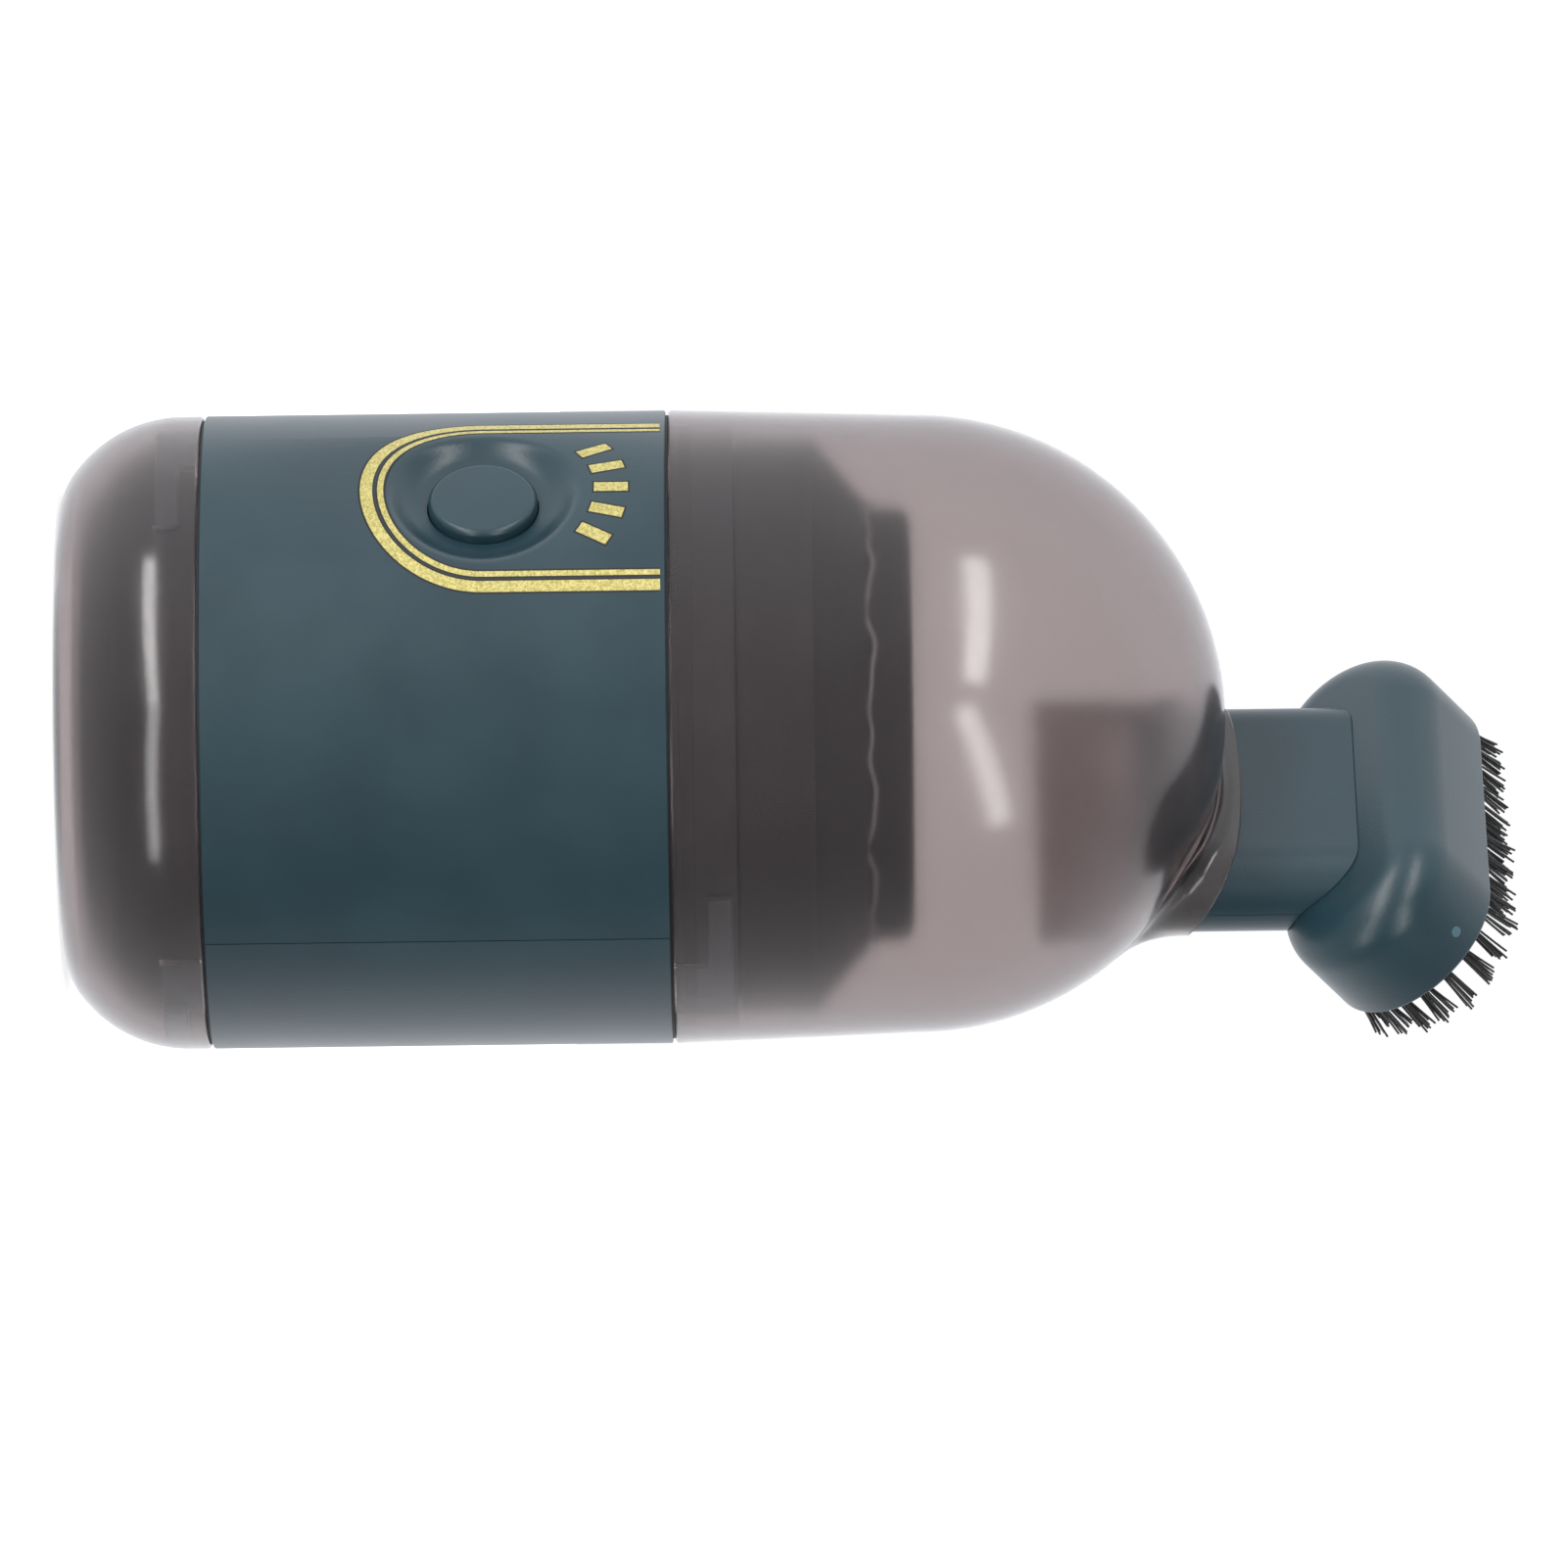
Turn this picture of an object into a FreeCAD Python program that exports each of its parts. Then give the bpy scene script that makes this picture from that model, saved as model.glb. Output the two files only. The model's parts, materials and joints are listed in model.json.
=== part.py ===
import FreeCAD, Part
import math
import os
import Sketcher
from FreeCAD import Placement, Rotation, Vector

# A desktop mini vacuum cleaner that stands upright on its rear cap.
# The origin is the centre of the flat base, +Z runs up the body to the brush, and the button faces -Y.
# The body is a tube between a clear rear cap and a clear dust cup, which both lock with a twist.

doc = FreeCAD.newDocument("mini_vacuum")

# Driving dimensions, in millimetres and degrees

SIZES = {
    "body_radius": 36.0, "body_height": 52.5, "wall": 2.0, "seam_gap": 0.35, "cap_height": 16.6,
    "cap_low_round": 9.0, "cap_high_round": 15.25, "cup_straight": 28.0, "cup_draft": 0.9,
    "sliding_gap": 0.4, "seat_gap": 0.05, "running_gap": 0.3, "lug_angle": 14.8, "lug_height": 2.2,
    "lug_depth": 1.1, "lug_rise": 4.4, "cap_lug_drop": 2.4, "unlock_turn": 16.4, "lug_side_gap": 0.6,
    "spigot_height": 7.4, "collar_depth": 9.0, "spigot_wall": 2.2, "tray_floor_z": 3.6, "tray_mid_z": 7.0,
    "tray_shoulder_z": 12.0, "tray_wall": 1.6, "tray_rim_height": 7.0, "seal_height": 1.6,
    "seal_depth": 0.9, "seal_rise": 1.1, "button_radius": 6.15, "button_edge": 0.6, "button_flange": 1.1,
    "flange_height": 1.0, "button_sink": 0.15, "dish_radius": 11.4, "dish_depth": 3.0,
    "dish_floor_radius": 7.8, "dish_rim": 1.6, "overcut": 1.0, "neck_offset": 15.25,
    "neck_half_width": 16.35, "neck_half_depth": 5.5, "neck_wall": 1.5, "sleeve_wall": 1.2,
    "collar_rim_fall": 20.0, "collar_flare": 3.0, "bore_shoulder": 1.2, "head_tilt": 52.0,
    "head_y": 11.26, "head_half_length": 23.7, "head_half_width": 10.97, "head_depth": 13.6,
    "head_round": 5.5, "head_wall": 3.4, "head_back_wall": 2.4, "stem_wall": 1.3, "tuft_radius": 0.62,
    "tuft_tip_radius": 0.8, "tuft_length": 7.0, "tuft_pitch": 3.0, "tuft_splay": 6.0, "groove_width": 1.7,
    "groove_depth": 1.5, "groove_inset": 1.7, "bulkhead_thick": 1.8, "shroud_wall": 1.5,
    "shroud_height": 8.4, "inlet_radius": 9.5, "window_height": 4.6, "window_width": 14.0,
    "guard_thick": 1.6, "guard_hub": 3.0, "guard_spoke": 1.6, "impeller_radius": 24.0,
    "impeller_height": 4.6, "wheel_lift": 1.6, "motor_screw_x": 7.2, "plate_thick": 1.2,
    "hub_radius": 4.0, "blade_thick": 1.1, "blade_root": 8.0, "blade_curve": 17.0, "blade_sweep": 38.0,
    "shaft_radius": 1.0, "motor_radius": 12.0, "motor_length": 28.0, "endbell_length": 3.0,
    "nose_radius": 3.2, "nose_height": 1.6, "sleeve_thick": 1.0, "sleeve_height": 12.0,
    "cell_radius": 8.25, "cell_floor_z": 9.0, "bridge_width": 28.0, "bridge_thick": 2.0,
    "board_thick": 1.6, "board_width": 23.0, "board_height": 17.6, "post_radius": 2.0, "post_x": 9.3,
    "screw_radius": 0.9, "screw_head_radius": 1.8, "screw_head_height": 1.3, "screw_length": 6.0,
    "switch_width": 6.0, "switch_depth": 3.4, "plunger_radius": 1.7, "port_width": 9.0,
    "port_height": 3.2, "port_depth": 7.4, "port_z": 30.4, "port_gap": 0.3, "shelf_width": 20.0,
    "shelf_depth": 11.0, "charge_board_depth": 19.0, "vent_width": 1.6, "vent_length": 22.0,
    "vent_step": 7.0, "filter_skirt": 8.5, "filter_cone": 6.0, "filter_wall": 1.5, "plug_depth": 6.0,
    "puck_height": 5.2, "puck_round": 1.8, "gauze_thick": 0.5,
}

# Sizes that follow others, as formulas in the same sheet: the head rides on the dome, the fan and the button
# hang from the tube's top, and the round pieces inside keep their distance from the wall

FOLLOWING = {
    "dome_top": "cap_height + body_height + cup_straight + body_radius - cup_draft",
    "neck_root_z": "dome_top - 9.3", "sleeve_foot_z": "dome_top - 21.4", "collar_rim_z": "dome_top + 1.9",
    "head_z": "dome_top + 13.1", "stem_foot_z": "dome_top - 5.2",
    "bulkhead_z": "cap_height + body_height - 12.9", "guard_z": "cap_height + body_height - 2.1",
    "button_z": "cap_height + body_height - 20.6", "vent_low_z": "cap_height + body_height - 31.1",
    "board_low_z": "button_z - 10.3", "post_low_z": "button_z - 7.9", "post_high_z": "button_z + 5.1",
    "cap_foot_radius": "body_radius - 11.5", "tray_floor_radius": "body_radius - 9",
    "tray_mid_radius": "body_radius - 5.4", "shroud_radius": "body_radius - 6",
    "filter_radius": "body_radius - 3.4", "filter_top_radius": "body_radius - 10.5",
    "filter_bore": "body_radius - 16", "puck_radius": "body_radius - 11.4", "board_y": "body_radius - 11.2",
    "charge_board_y": "body_radius - 21.8",
    "cell_offset": "motor_radius + sleeve_thick + cell_radius + 0.25", "cell_length": "body_height - 18.5",
    "bridge_length": "2 * sqrt((body_radius - wall)^2 - bridge_width^2 / 4) - 0.967",
}
BLADES = 9
WINDOWS = 6
SPOKES = 6
CAP_LUGS = 3
VENTS_EACH_SIDE = 3

# Derived heights and radii, as text that the sheet works out

CAP_TURN_Z = "(Sizes.cap_low_round + sqrt((Sizes.cap_high_round - Sizes.cap_low_round)^2" \
    " - (Sizes.cap_foot_radius + Sizes.cap_high_round - Sizes.body_radius)^2))"
BODY_TOP = "(Sizes.cap_height + Sizes.body_height)"
INNER = "(Sizes.body_radius - Sizes.wall)"
SPIGOT = "(Sizes.body_radius - Sizes.wall - Sizes.sliding_gap)"
SPIGOT_BORE = "(Sizes.body_radius - Sizes.wall - Sizes.sliding_gap - Sizes.spigot_wall)"
COLLAR = "(Sizes.body_radius - Sizes.wall - Sizes.seat_gap)"
LUG_REACH = "(Sizes.body_radius - Sizes.wall + Sizes.lug_depth - Sizes.running_gap)"
SLOT_REACH = "(Sizes.body_radius - Sizes.wall + Sizes.lug_depth)"
DOME_Z = "(Sizes.cap_height + Sizes.body_height + Sizes.cup_straight)"
DOME = "(Sizes.body_radius - Sizes.cup_draft)"
SHROUD_Z = "(Sizes.bulkhead_z + Sizes.bulkhead_thick)"
WHEEL_Z = "(Sizes.bulkhead_z + Sizes.bulkhead_thick + Sizes.wheel_lift)"
FACE_Y = "(Sizes.body_radius - Sizes.button_sink)"
DISH_BACK_Y = "(Sizes.body_radius - Sizes.dish_depth - Sizes.wall)"
CELL_TOP = "(Sizes.cell_floor_z + Sizes.cell_length)"
MOTOR_Z = "(Sizes.bulkhead_z - Sizes.motor_length)"
PORT_FLOOR = "(Sizes.port_z - Sizes.port_height / 2)"
FILTER_FOOT = "(Sizes.cap_height + Sizes.body_height + Sizes.spigot_height + Sizes.seam_gap)"
FILTER_TOP = "(Sizes.cap_height + Sizes.body_height + Sizes.spigot_height + Sizes.seam_gap" \
    " + Sizes.filter_skirt + Sizes.filter_cone)"

sheet = doc.addObject("Spreadsheet::Sheet", "Sizes")
for row, (alias, content) in enumerate([*SIZES.items(), *FOLLOWING.items()], start=1):
    sheet.set(f"A{row}", alias)
    sheet.set(f"B{row}", f"={content}")
    sheet.setAlias(f"B{row}", alias)
    doc.recompute()

nodes = []


def size(text):
    """The value of an expression over the sheet."""
    found = sheet.evalExpression(str(text))
    return float(getattr(found, "Value", found))


def bind(item, **texts):
    """Tie properties to expressions: two underscores in a name stand for a dot."""
    for name, text in texts.items():
        item.setExpression(name.replace("__", "."), str(text))
    return item


def node(item, name):
    """Name a finished sub-part, whose label is its file's name."""
    item.Label = name
    nodes.append(item)
    return item


# Sketches: an outline is a list of points, and a third value is the radius of the arc that ends there

def body(name):
    return doc.addObject("PartDesign::Body", name)


def edge(start, end, radius):
    """A straight side, or an arc that bulges right of the way it runs, or left where radius is negative."""
    first = Vector(start[0], start[1], 0)
    last = Vector(end[0], end[1], 0)
    if radius is None:
        return Part.LineSegment(first, last)
    chord = last - first
    side = Vector(chord.y, -chord.x, 0).normalize()
    depth = abs(radius) - math.sqrt(max(radius ** 2 - (chord.Length / 2) ** 2, 0.0))
    return Part.Arc(first, (first + last) * 0.5 + side * math.copysign(depth, radius), last)


def sketch(owner, name, role, points, lift=None):
    """A closed sketch whose corners and arcs are bound to the sheet."""
    made = owner.newObject("Sketcher::SketchObject", name)
    plane = [item for item in owner.Origin.OriginFeatures if item.Role == role][0]
    made.AttachmentSupport = (plane, [""])
    made.MapMode = "FlatFace"
    if lift is not None:
        bind(made, AttachmentOffset__Base__z=lift)
    places = [(size(point[0]), size(point[1])) for point in points]
    count = len(points)
    for i, point in enumerate(points):
        radius = size(point[2]) if len(point) > 2 else None
        made.addGeometry(edge(places[i - 1], places[i], radius), False)
    for i, point in enumerate(points):
        after = (i + 1) % count
        arc = len(point) > 2
        next_arc = len(points[after]) > 2
        end = 1 if arc and size(point[2]) < 0 else 2
        start = 2 if next_arc and size(points[after][2]) < 0 else 1
        made.addConstraint(Sketcher.Constraint("Coincident", i, end, after, start))
        for kind, text, value in (("DistanceX", point[0], places[i][0]), ("DistanceY", point[1], places[i][1])):
            tie = made.addConstraint(Sketcher.Constraint(kind, -1, 1, i, end, value))
            if "Sizes" in str(text):
                made.setExpression(f"Constraints[{tie}]", str(text))
        if arc:
            tie = made.addConstraint(Sketcher.Constraint("Radius", i, abs(size(point[2]))))
            made.setExpression(f"Constraints[{tie}]", f"abs({point[2]})")
    return made


def revolve(owner, outline, name, angle=360, reverse=False):
    """Turn an outline in the XZ plane about the upright axis."""
    turned = owner.newObject("PartDesign::Revolution", name)
    turned.Profile = outline
    turned.ReferenceAxis = (outline, ["V_Axis"])
    turned.Angle = angle
    turned.Reversed = reverse
    return turned


def pad(owner, outline, name, length):
    made = owner.newObject("PartDesign::Pad", name)
    made.Profile = outline
    return bind(made, Length=length)


def slot_points(half_length, half_width, y="0"):
    """A stadium: two straight sides and four quarter rounds."""
    reach = f"({half_length})"
    wide = f"({half_width})"
    straight = f"({reach} - {wide})"
    return [(f"-{straight}", f"{y} - {wide}", wide), (straight, f"{y} - {wide}"), (reach, y, wide),
            (straight, f"{y} + {wide}", wide), (f"-{straight}", f"{y} + {wide}"), (f"-{reach}", y, wide)]


def slot_block(name, half_length, half_width, y, low, high):
    """An upright block of stadium section."""
    made = body(name)
    outline = sketch(made, name + "_outline", "XY_Plane", slot_points(half_length, half_width, y), low)
    pad(made, outline, name + "_pad", f"{high} - {low}")
    return made


def turned(name, points, angle=360, reverse=False):
    """A body of one revolved outline."""
    made = body(name)
    revolve(made, sketch(made, name + "_outline", "XZ_Plane", points), name + "_turn", angle, reverse)
    return made


# Part primitives, placed and sized from the sheet

TOWARDS = {"up": (1, 0, 0, 0), "back": (-1, 0, 0, 90)}


def place(item, x, y, z, way="up"):
    turn = TOWARDS[way]
    item.Placement = Placement(Vector(size(x), size(y), size(z)), Rotation(Vector(*turn[:3]), turn[3]))
    return bind(item, Placement__Base__x=x, Placement__Base__y=y, Placement__Base__z=z)


def cylinder(name, radius, height, x="0", y="0", z="0", way="up"):
    made = bind(doc.addObject("Part::Cylinder", name), Radius=radius, Height=height)
    return place(made, x, y, z, way)


def sector(name, radius, angle, low, height, middle):
    """A wedge of a cylinder, centred on a bearing in degrees from +X."""
    made = bind(doc.addObject("Part::Cylinder", name), Radius=radius, Height=height, Angle=angle)
    bearing = (size(middle) - size(angle) / 2) % 360
    made.Placement = Placement(Vector(0, 0, size(low)), Rotation(Vector(0, 0, 1), bearing))
    bind(made, Placement__Base__z=low, Placement__Rotation__Angle=f"mod(({middle}) - ({angle}) / 2 + 720; 360)")
    return made


def box(name, length, width, height, x, y, z):
    made = bind(doc.addObject("Part::Box", name), Length=length, Width=width, Height=height)
    return place(made, x, y, z)


def mid_box(name, length, width, height, y, z):
    """A box centred on the YZ plane."""
    return box(name, length, width, height, f"-({length}) / 2", y, z)


def joined(name, *pieces):
    made = doc.addObject("Part::MultiFuse", name)
    made.Shapes = list(pieces)
    return made


def shared(name, *pieces):
    made = doc.addObject("Part::MultiCommon", name)
    made.Shapes = list(pieces)
    return made


def cut(name, base, *tools):
    made = doc.addObject("Part::Cut", name)
    made.Base = base
    made.Tool = tools[0] if len(tools) == 1 else joined(name + "_tools", *tools)
    return made


def copies(name, shapes):
    """Loose equal solids that share one node."""
    made = doc.addObject("Part::Feature", name)
    made.Shape = Part.makeCompound(shapes)
    return made


# The clear rear cap: a rounded cup whose wall holds three L-shaped bayonet slots

def cap_outline(inset):
    """Foot, two tangent rounds and the straight wall, with the whole outline moved in by inset."""
    low = f"(Sizes.cap_low_round - {inset})"
    high = f"(Sizes.cap_high_round - {inset})"
    lean = f"asin(({CAP_TURN_Z} - Sizes.cap_low_round) / (Sizes.cap_high_round - Sizes.cap_low_round))"
    meet_x = f"Sizes.cap_foot_radius + {low} * cos({lean})"
    meet_z = f"Sizes.cap_low_round - {low} * sin({lean})"
    return [("Sizes.cap_foot_radius", f"{inset} + 0"), (meet_x, meet_z, low),
            (f"Sizes.body_radius - {inset}", CAP_TURN_Z, high)]


def cap_slots():
    """Each slot has an entry at the rim and a locking part that runs to one side."""
    slots = []
    rim = "(Sizes.cap_height)"
    top = f"({rim} - Sizes.cap_lug_drop)"
    wide = "(Sizes.lug_angle + Sizes.lug_side_gap)"
    for i in range(CAP_LUGS):
        bearing = -90 + i * 360 / CAP_LUGS
        slots.append(sector(f"cap_lock_{i}", SLOT_REACH, f"{wide} + Sizes.unlock_turn",
                            f"{top} - Sizes.lug_height - Sizes.running_gap",
                            "Sizes.lug_height + 2 * Sizes.running_gap", f"{bearing} - Sizes.unlock_turn / 2"))
        slots.append(sector(f"cap_entry_{i}", SLOT_REACH, wide,
                            f"{top} - Sizes.lug_height", f"{rim} - {top} + Sizes.lug_height + 1",
                            f"{bearing} - Sizes.unlock_turn"))
    return slots


def make_rear_cap():
    shell = turned("cap_shell", [
        ("0", "0"), *cap_outline("0"), ("Sizes.body_radius", "Sizes.cap_height - Sizes.seam_gap / 2"),
        (INNER, "Sizes.cap_height - Sizes.seam_gap / 2"), (INNER, CAP_TURN_Z),
        *[(point[0], point[1], f"-({arc})") for point, arc in zip(
            cap_outline("Sizes.wall")[1::-1],
            ("Sizes.cap_high_round - Sizes.wall", "Sizes.cap_low_round - Sizes.wall"))],
        ("0", "Sizes.wall")])
    node(cut("cap_slotted", shell, *cap_slots()), "rear_cap")


# The housing: two half shells round the tube, the front one with the button's dish

def half_shell(name, back):
    """Half a tube, parted on the XZ plane."""
    low = "Sizes.cap_height + Sizes.seam_gap / 2"
    high = f"{BODY_TOP} - Sizes.seam_gap / 2"
    points = [("Sizes.body_radius", low), ("Sizes.body_radius", high), (INNER, high), (INNER, low)]
    return turned(name, points, 180, reverse=not back)


def make_housing_front():
    shell = half_shell("front_wall", back=False)
    rim = "(Sizes.dish_radius + Sizes.dish_rim)"
    front = "-(Sizes.body_radius + Sizes.overcut)"
    disc = cylinder("dish_disc", rim, f"Sizes.body_radius + Sizes.overcut - {DISH_BACK_Y}", "0", front,
                    "Sizes.button_z", "back")
    tube = cylinder("dish_limit", "Sizes.body_radius", "Sizes.body_height", z="Sizes.cap_height")
    boss = shared("dish_boss", disc, tube)
    slope = "(Sizes.dish_radius - Sizes.dish_floor_radius) / Sizes.dish_depth"
    hollow = bind(doc.addObject("Part::Cone", "dish_hollow"),
                  Radius1=f"Sizes.dish_radius + {slope} * Sizes.overcut",
                  Radius2="Sizes.dish_floor_radius", Height="Sizes.dish_depth + Sizes.overcut")
    place(hollow, "0", front, "Sizes.button_z", "back")
    bore = cylinder("button_bore", "Sizes.button_radius + Sizes.running_gap / 2", "Sizes.body_radius", "0",
                    "-Sizes.body_radius - 1", "Sizes.button_z", "back")
    posts = []
    holes = []
    for x in ("-Sizes.post_x", "Sizes.post_x"):
        for z in ("Sizes.post_low_z", "Sizes.post_high_z"):
            tag = f"post_{len(posts)}"
            posts.append(cylinder(tag, "Sizes.post_radius",
                                  "sqrt((Sizes.body_radius - Sizes.wall / 2)^2 - Sizes.post_x^2) - Sizes.board_y",
                                  x, "-sqrt((Sizes.body_radius - Sizes.wall / 2)^2 - Sizes.post_x^2)", z, "back"))
            holes.append(cylinder(tag + "_hole", "Sizes.screw_radius + Sizes.seat_gap", "Sizes.screw_length + 1",
                                  x, "-Sizes.board_y - Sizes.screw_length", z, "back"))
    whole = joined("front_whole", shell, boss, *posts)
    node(cut("front_cut", whole, hollow, bore, *holes), "housing_front")


def make_housing_back():
    """The back half has the exhaust slots, the charging port's opening and the shelf of the charging board."""
    shell = half_shell("back_wall", back=True)
    reach = f"sqrt(({INNER} + Sizes.wall / 2)^2 - (Sizes.shelf_width / 2)^2)"
    shelf = mid_box("shelf", "Sizes.shelf_width", "Sizes.shelf_depth", "Sizes.bridge_thick",
                    f"{reach} - Sizes.shelf_depth",
                    f"{PORT_FLOOR} - Sizes.board_thick - Sizes.bridge_thick")
    openings = [mid_box("port_opening", "Sizes.port_width + 2 * Sizes.port_gap", "Sizes.body_radius",
                        "Sizes.port_height + 2 * Sizes.port_gap", f"{reach} - 1",
                        f"{PORT_FLOOR} - Sizes.port_gap")]
    for side in (-1, 1):
        for i in range(VENTS_EACH_SIDE):
            offset = f"{side} * (Sizes.port_width / 2 + 5 + {i} * Sizes.vent_step / 2)"
            openings.append(box(f"vent_{side + 1}_{i}", "Sizes.vent_width", "Sizes.body_radius",
                                "Sizes.vent_length", f"{offset} - Sizes.vent_width / 2", "10",
                                "Sizes.vent_low_z"))
    holes = [cylinder(f"shelf_hole_{side}", "Sizes.screw_radius + Sizes.seat_gap", "Sizes.bridge_thick + 2",
                      f"{side} * (Sizes.shelf_width / 2 - 3)", f"{reach} - Sizes.shelf_depth + 3",
                      f"{PORT_FLOOR} - Sizes.board_thick - Sizes.bridge_thick - 1") for side in (-1, 1)]
    node(cut("back_cut", joined("back_whole", shell, shelf), *openings, *holes), "housing_back")


# Collars that join the tube to the cup and the cap, each with its bayonet lugs

def dish_room(name):
    """The space behind the shell that the dish's boss takes."""
    return cylinder(name, "Sizes.dish_radius + Sizes.dish_rim + Sizes.running_gap",
                    f"Sizes.body_radius - {DISH_BACK_Y} + Sizes.running_gap", "0", "-Sizes.body_radius",
                    "Sizes.button_z", "back")


def make_front_collar():
    foot = f"({BODY_TOP} - Sizes.collar_depth)"
    top = f"({BODY_TOP} + Sizes.spigot_height)"
    step = f"({BODY_TOP} - Sizes.seam_gap / 2)"
    seal = f"({BODY_TOP} + Sizes.seal_rise)"
    groove = f"({SPIGOT} - Sizes.seal_depth)"
    guard_top = "(Sizes.guard_z + Sizes.guard_thick)"
    ring = turned("collar_ring", [
        (COLLAR, foot), (COLLAR, step), (SPIGOT, step), (SPIGOT, seal), (groove, seal),
        (groove, f"{seal} + Sizes.seal_height"), (SPIGOT, f"{seal} + Sizes.seal_height"), (SPIGOT, top),
        (SPIGOT_BORE, top), (SPIGOT_BORE, guard_top), ("Sizes.inlet_radius + 2", guard_top),
        ("Sizes.inlet_radius + 2", "Sizes.guard_z"), (SPIGOT_BORE, "Sizes.guard_z"), (SPIGOT_BORE, foot)])
    lugs = [sector(f"cup_lug_{i}", LUG_REACH, "Sizes.lug_angle", f"{BODY_TOP} + Sizes.lug_rise",
                   "Sizes.lug_height", str(180 * i)) for i in range(2)]
    lug_ring = cut("cup_lugs", joined("lug_pair", *lugs), cylinder(
        "lug_bore", f"{SPIGOT} - Sizes.spigot_wall / 2", "Sizes.body_height", z=f"{BODY_TOP} - 1"))
    hub = cylinder("guard_hub", "Sizes.guard_hub", "Sizes.guard_thick", z="Sizes.guard_z")
    spokes = []
    for i in range(SPOKES // 2):
        bearing = i * 360 / SPOKES
        reach = "(Sizes.inlet_radius + 3)"
        half = "(Sizes.guard_spoke / 2)"
        spoke = box(f"guard_spoke_{i}", f"2 * {reach}", "Sizes.guard_spoke", "Sizes.guard_thick",
                    f"-{reach} * cos({bearing}) + {half} * sin({bearing})",
                    f"-{reach} * sin({bearing}) - {half} * cos({bearing})", "Sizes.guard_z")
        spoke.Placement = Placement(spoke.Placement.Base, Rotation(Vector(0, 0, 1), bearing))
        spokes.append(spoke)
    whole = joined("collar_whole", ring, lug_ring, hub, *spokes)
    node(cut("collar_notched", whole, dish_room("collar_notch")), "front_collar")
    node(turned("seal_ring", [
        (f"{groove} + Sizes.seat_gap", f"{seal} + Sizes.seat_gap"),
        (f"{INNER} - Sizes.running_gap / 2", f"{seal} + Sizes.seat_gap"),
        (f"{INNER} - Sizes.running_gap / 2", f"{seal} + Sizes.seal_height - Sizes.seat_gap"),
        (f"{groove} + Sizes.seat_gap", f"{seal} + Sizes.seal_height - Sizes.seat_gap")]), "cup_seal")


def make_rear_tray():
    """A dark tray that nearly fills the rear cap and stands the cells on two pads."""
    rim = "(Sizes.cap_height + Sizes.tray_rim_height)"
    step = "(Sizes.cap_height + Sizes.seam_gap / 2)"
    inner = "Sizes.tray_wall"
    shell = turned("tray_shell", [
        ("0", "Sizes.tray_floor_z"), ("Sizes.tray_floor_radius", "Sizes.tray_floor_z"),
        ("Sizes.tray_mid_radius", "Sizes.tray_mid_z"), (SPIGOT, "Sizes.tray_shoulder_z"),
        (SPIGOT, step), (COLLAR, step), (COLLAR, rim), (f"{SPIGOT} - {inner}", rim),
        (f"{SPIGOT} - {inner}", "Sizes.tray_shoulder_z"),
        (f"Sizes.tray_mid_radius - {inner}", "Sizes.tray_mid_z + 0.4"),
        (f"Sizes.tray_floor_radius - {inner}", f"Sizes.tray_floor_z + {inner}"),
        ("0", f"Sizes.tray_floor_z + {inner}")])
    top = "(Sizes.cap_height - Sizes.cap_lug_drop)"
    lugs = [sector(f"cap_lug_{i}", LUG_REACH, "Sizes.lug_angle", f"{top} - Sizes.lug_height",
                   "Sizes.lug_height", str(-90 + i * 360 / CAP_LUGS)) for i in range(CAP_LUGS)]
    lug_ring = cut("cap_lugs", joined("cap_lug_set", *lugs), cylinder(
        "cap_lug_bore", f"{SPIGOT} - Sizes.tray_wall / 2", "Sizes.cap_height"))
    pads = [cylinder(f"cell_pad_{side}", "Sizes.cell_radius - 3.5",
                     f"Sizes.cell_floor_z - Sizes.tray_floor_z - {inner} / 2", f"{side} * Sizes.cell_offset", "0",
                     f"Sizes.tray_floor_z + {inner} / 2") for side in (-1, 1)]
    node(joined("tray_whole", shell, lug_ring, *pads), "rear_tray")


# Motor and fan: an open radial impeller between the bulkhead and its shroud

def make_bulkhead():
    plate = cylinder("bulkhead_plate", COLLAR, "Sizes.bulkhead_thick", z="Sizes.bulkhead_z")
    hole = cylinder("nose_hole", "Sizes.nose_radius + Sizes.seat_gap", "10", z="Sizes.bulkhead_z - 1")
    holes = [cylinder(f"motor_screw_hole_{side}", "Sizes.screw_radius + Sizes.seat_gap", "10",
                      f"{side} * Sizes.motor_screw_x", "0", "Sizes.bulkhead_z - 1") for side in (-1, 1)]
    node(cut("bulkhead_cut", plate, hole, dish_room("bulkhead_notch"), *holes), "motor_bulkhead")


def make_shroud():
    top = f"({SHROUD_Z} + Sizes.shroud_height)"
    low = f"({SHROUD_Z})"
    inner = "(Sizes.shroud_radius - Sizes.shroud_wall)"
    shell = turned("shroud_shell", [
        ("Sizes.shroud_radius", low), ("Sizes.shroud_radius", top), ("Sizes.inlet_radius", top),
        ("Sizes.inlet_radius", f"{top} - Sizes.shroud_wall"), (inner, f"{top} - Sizes.shroud_wall"),
        (inner, low)])
    windows = []
    for i in range(WINDOWS):
        windows.append(sector(f"shroud_window_{i}", "Sizes.shroud_radius + 1", "Sizes.window_width * 2",
                              f"{low} + 1", "Sizes.window_height", str(90 + i * 360 / WINDOWS)))
    node(cut("shroud_cut", shell, *windows), "fan_shroud")


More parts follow.
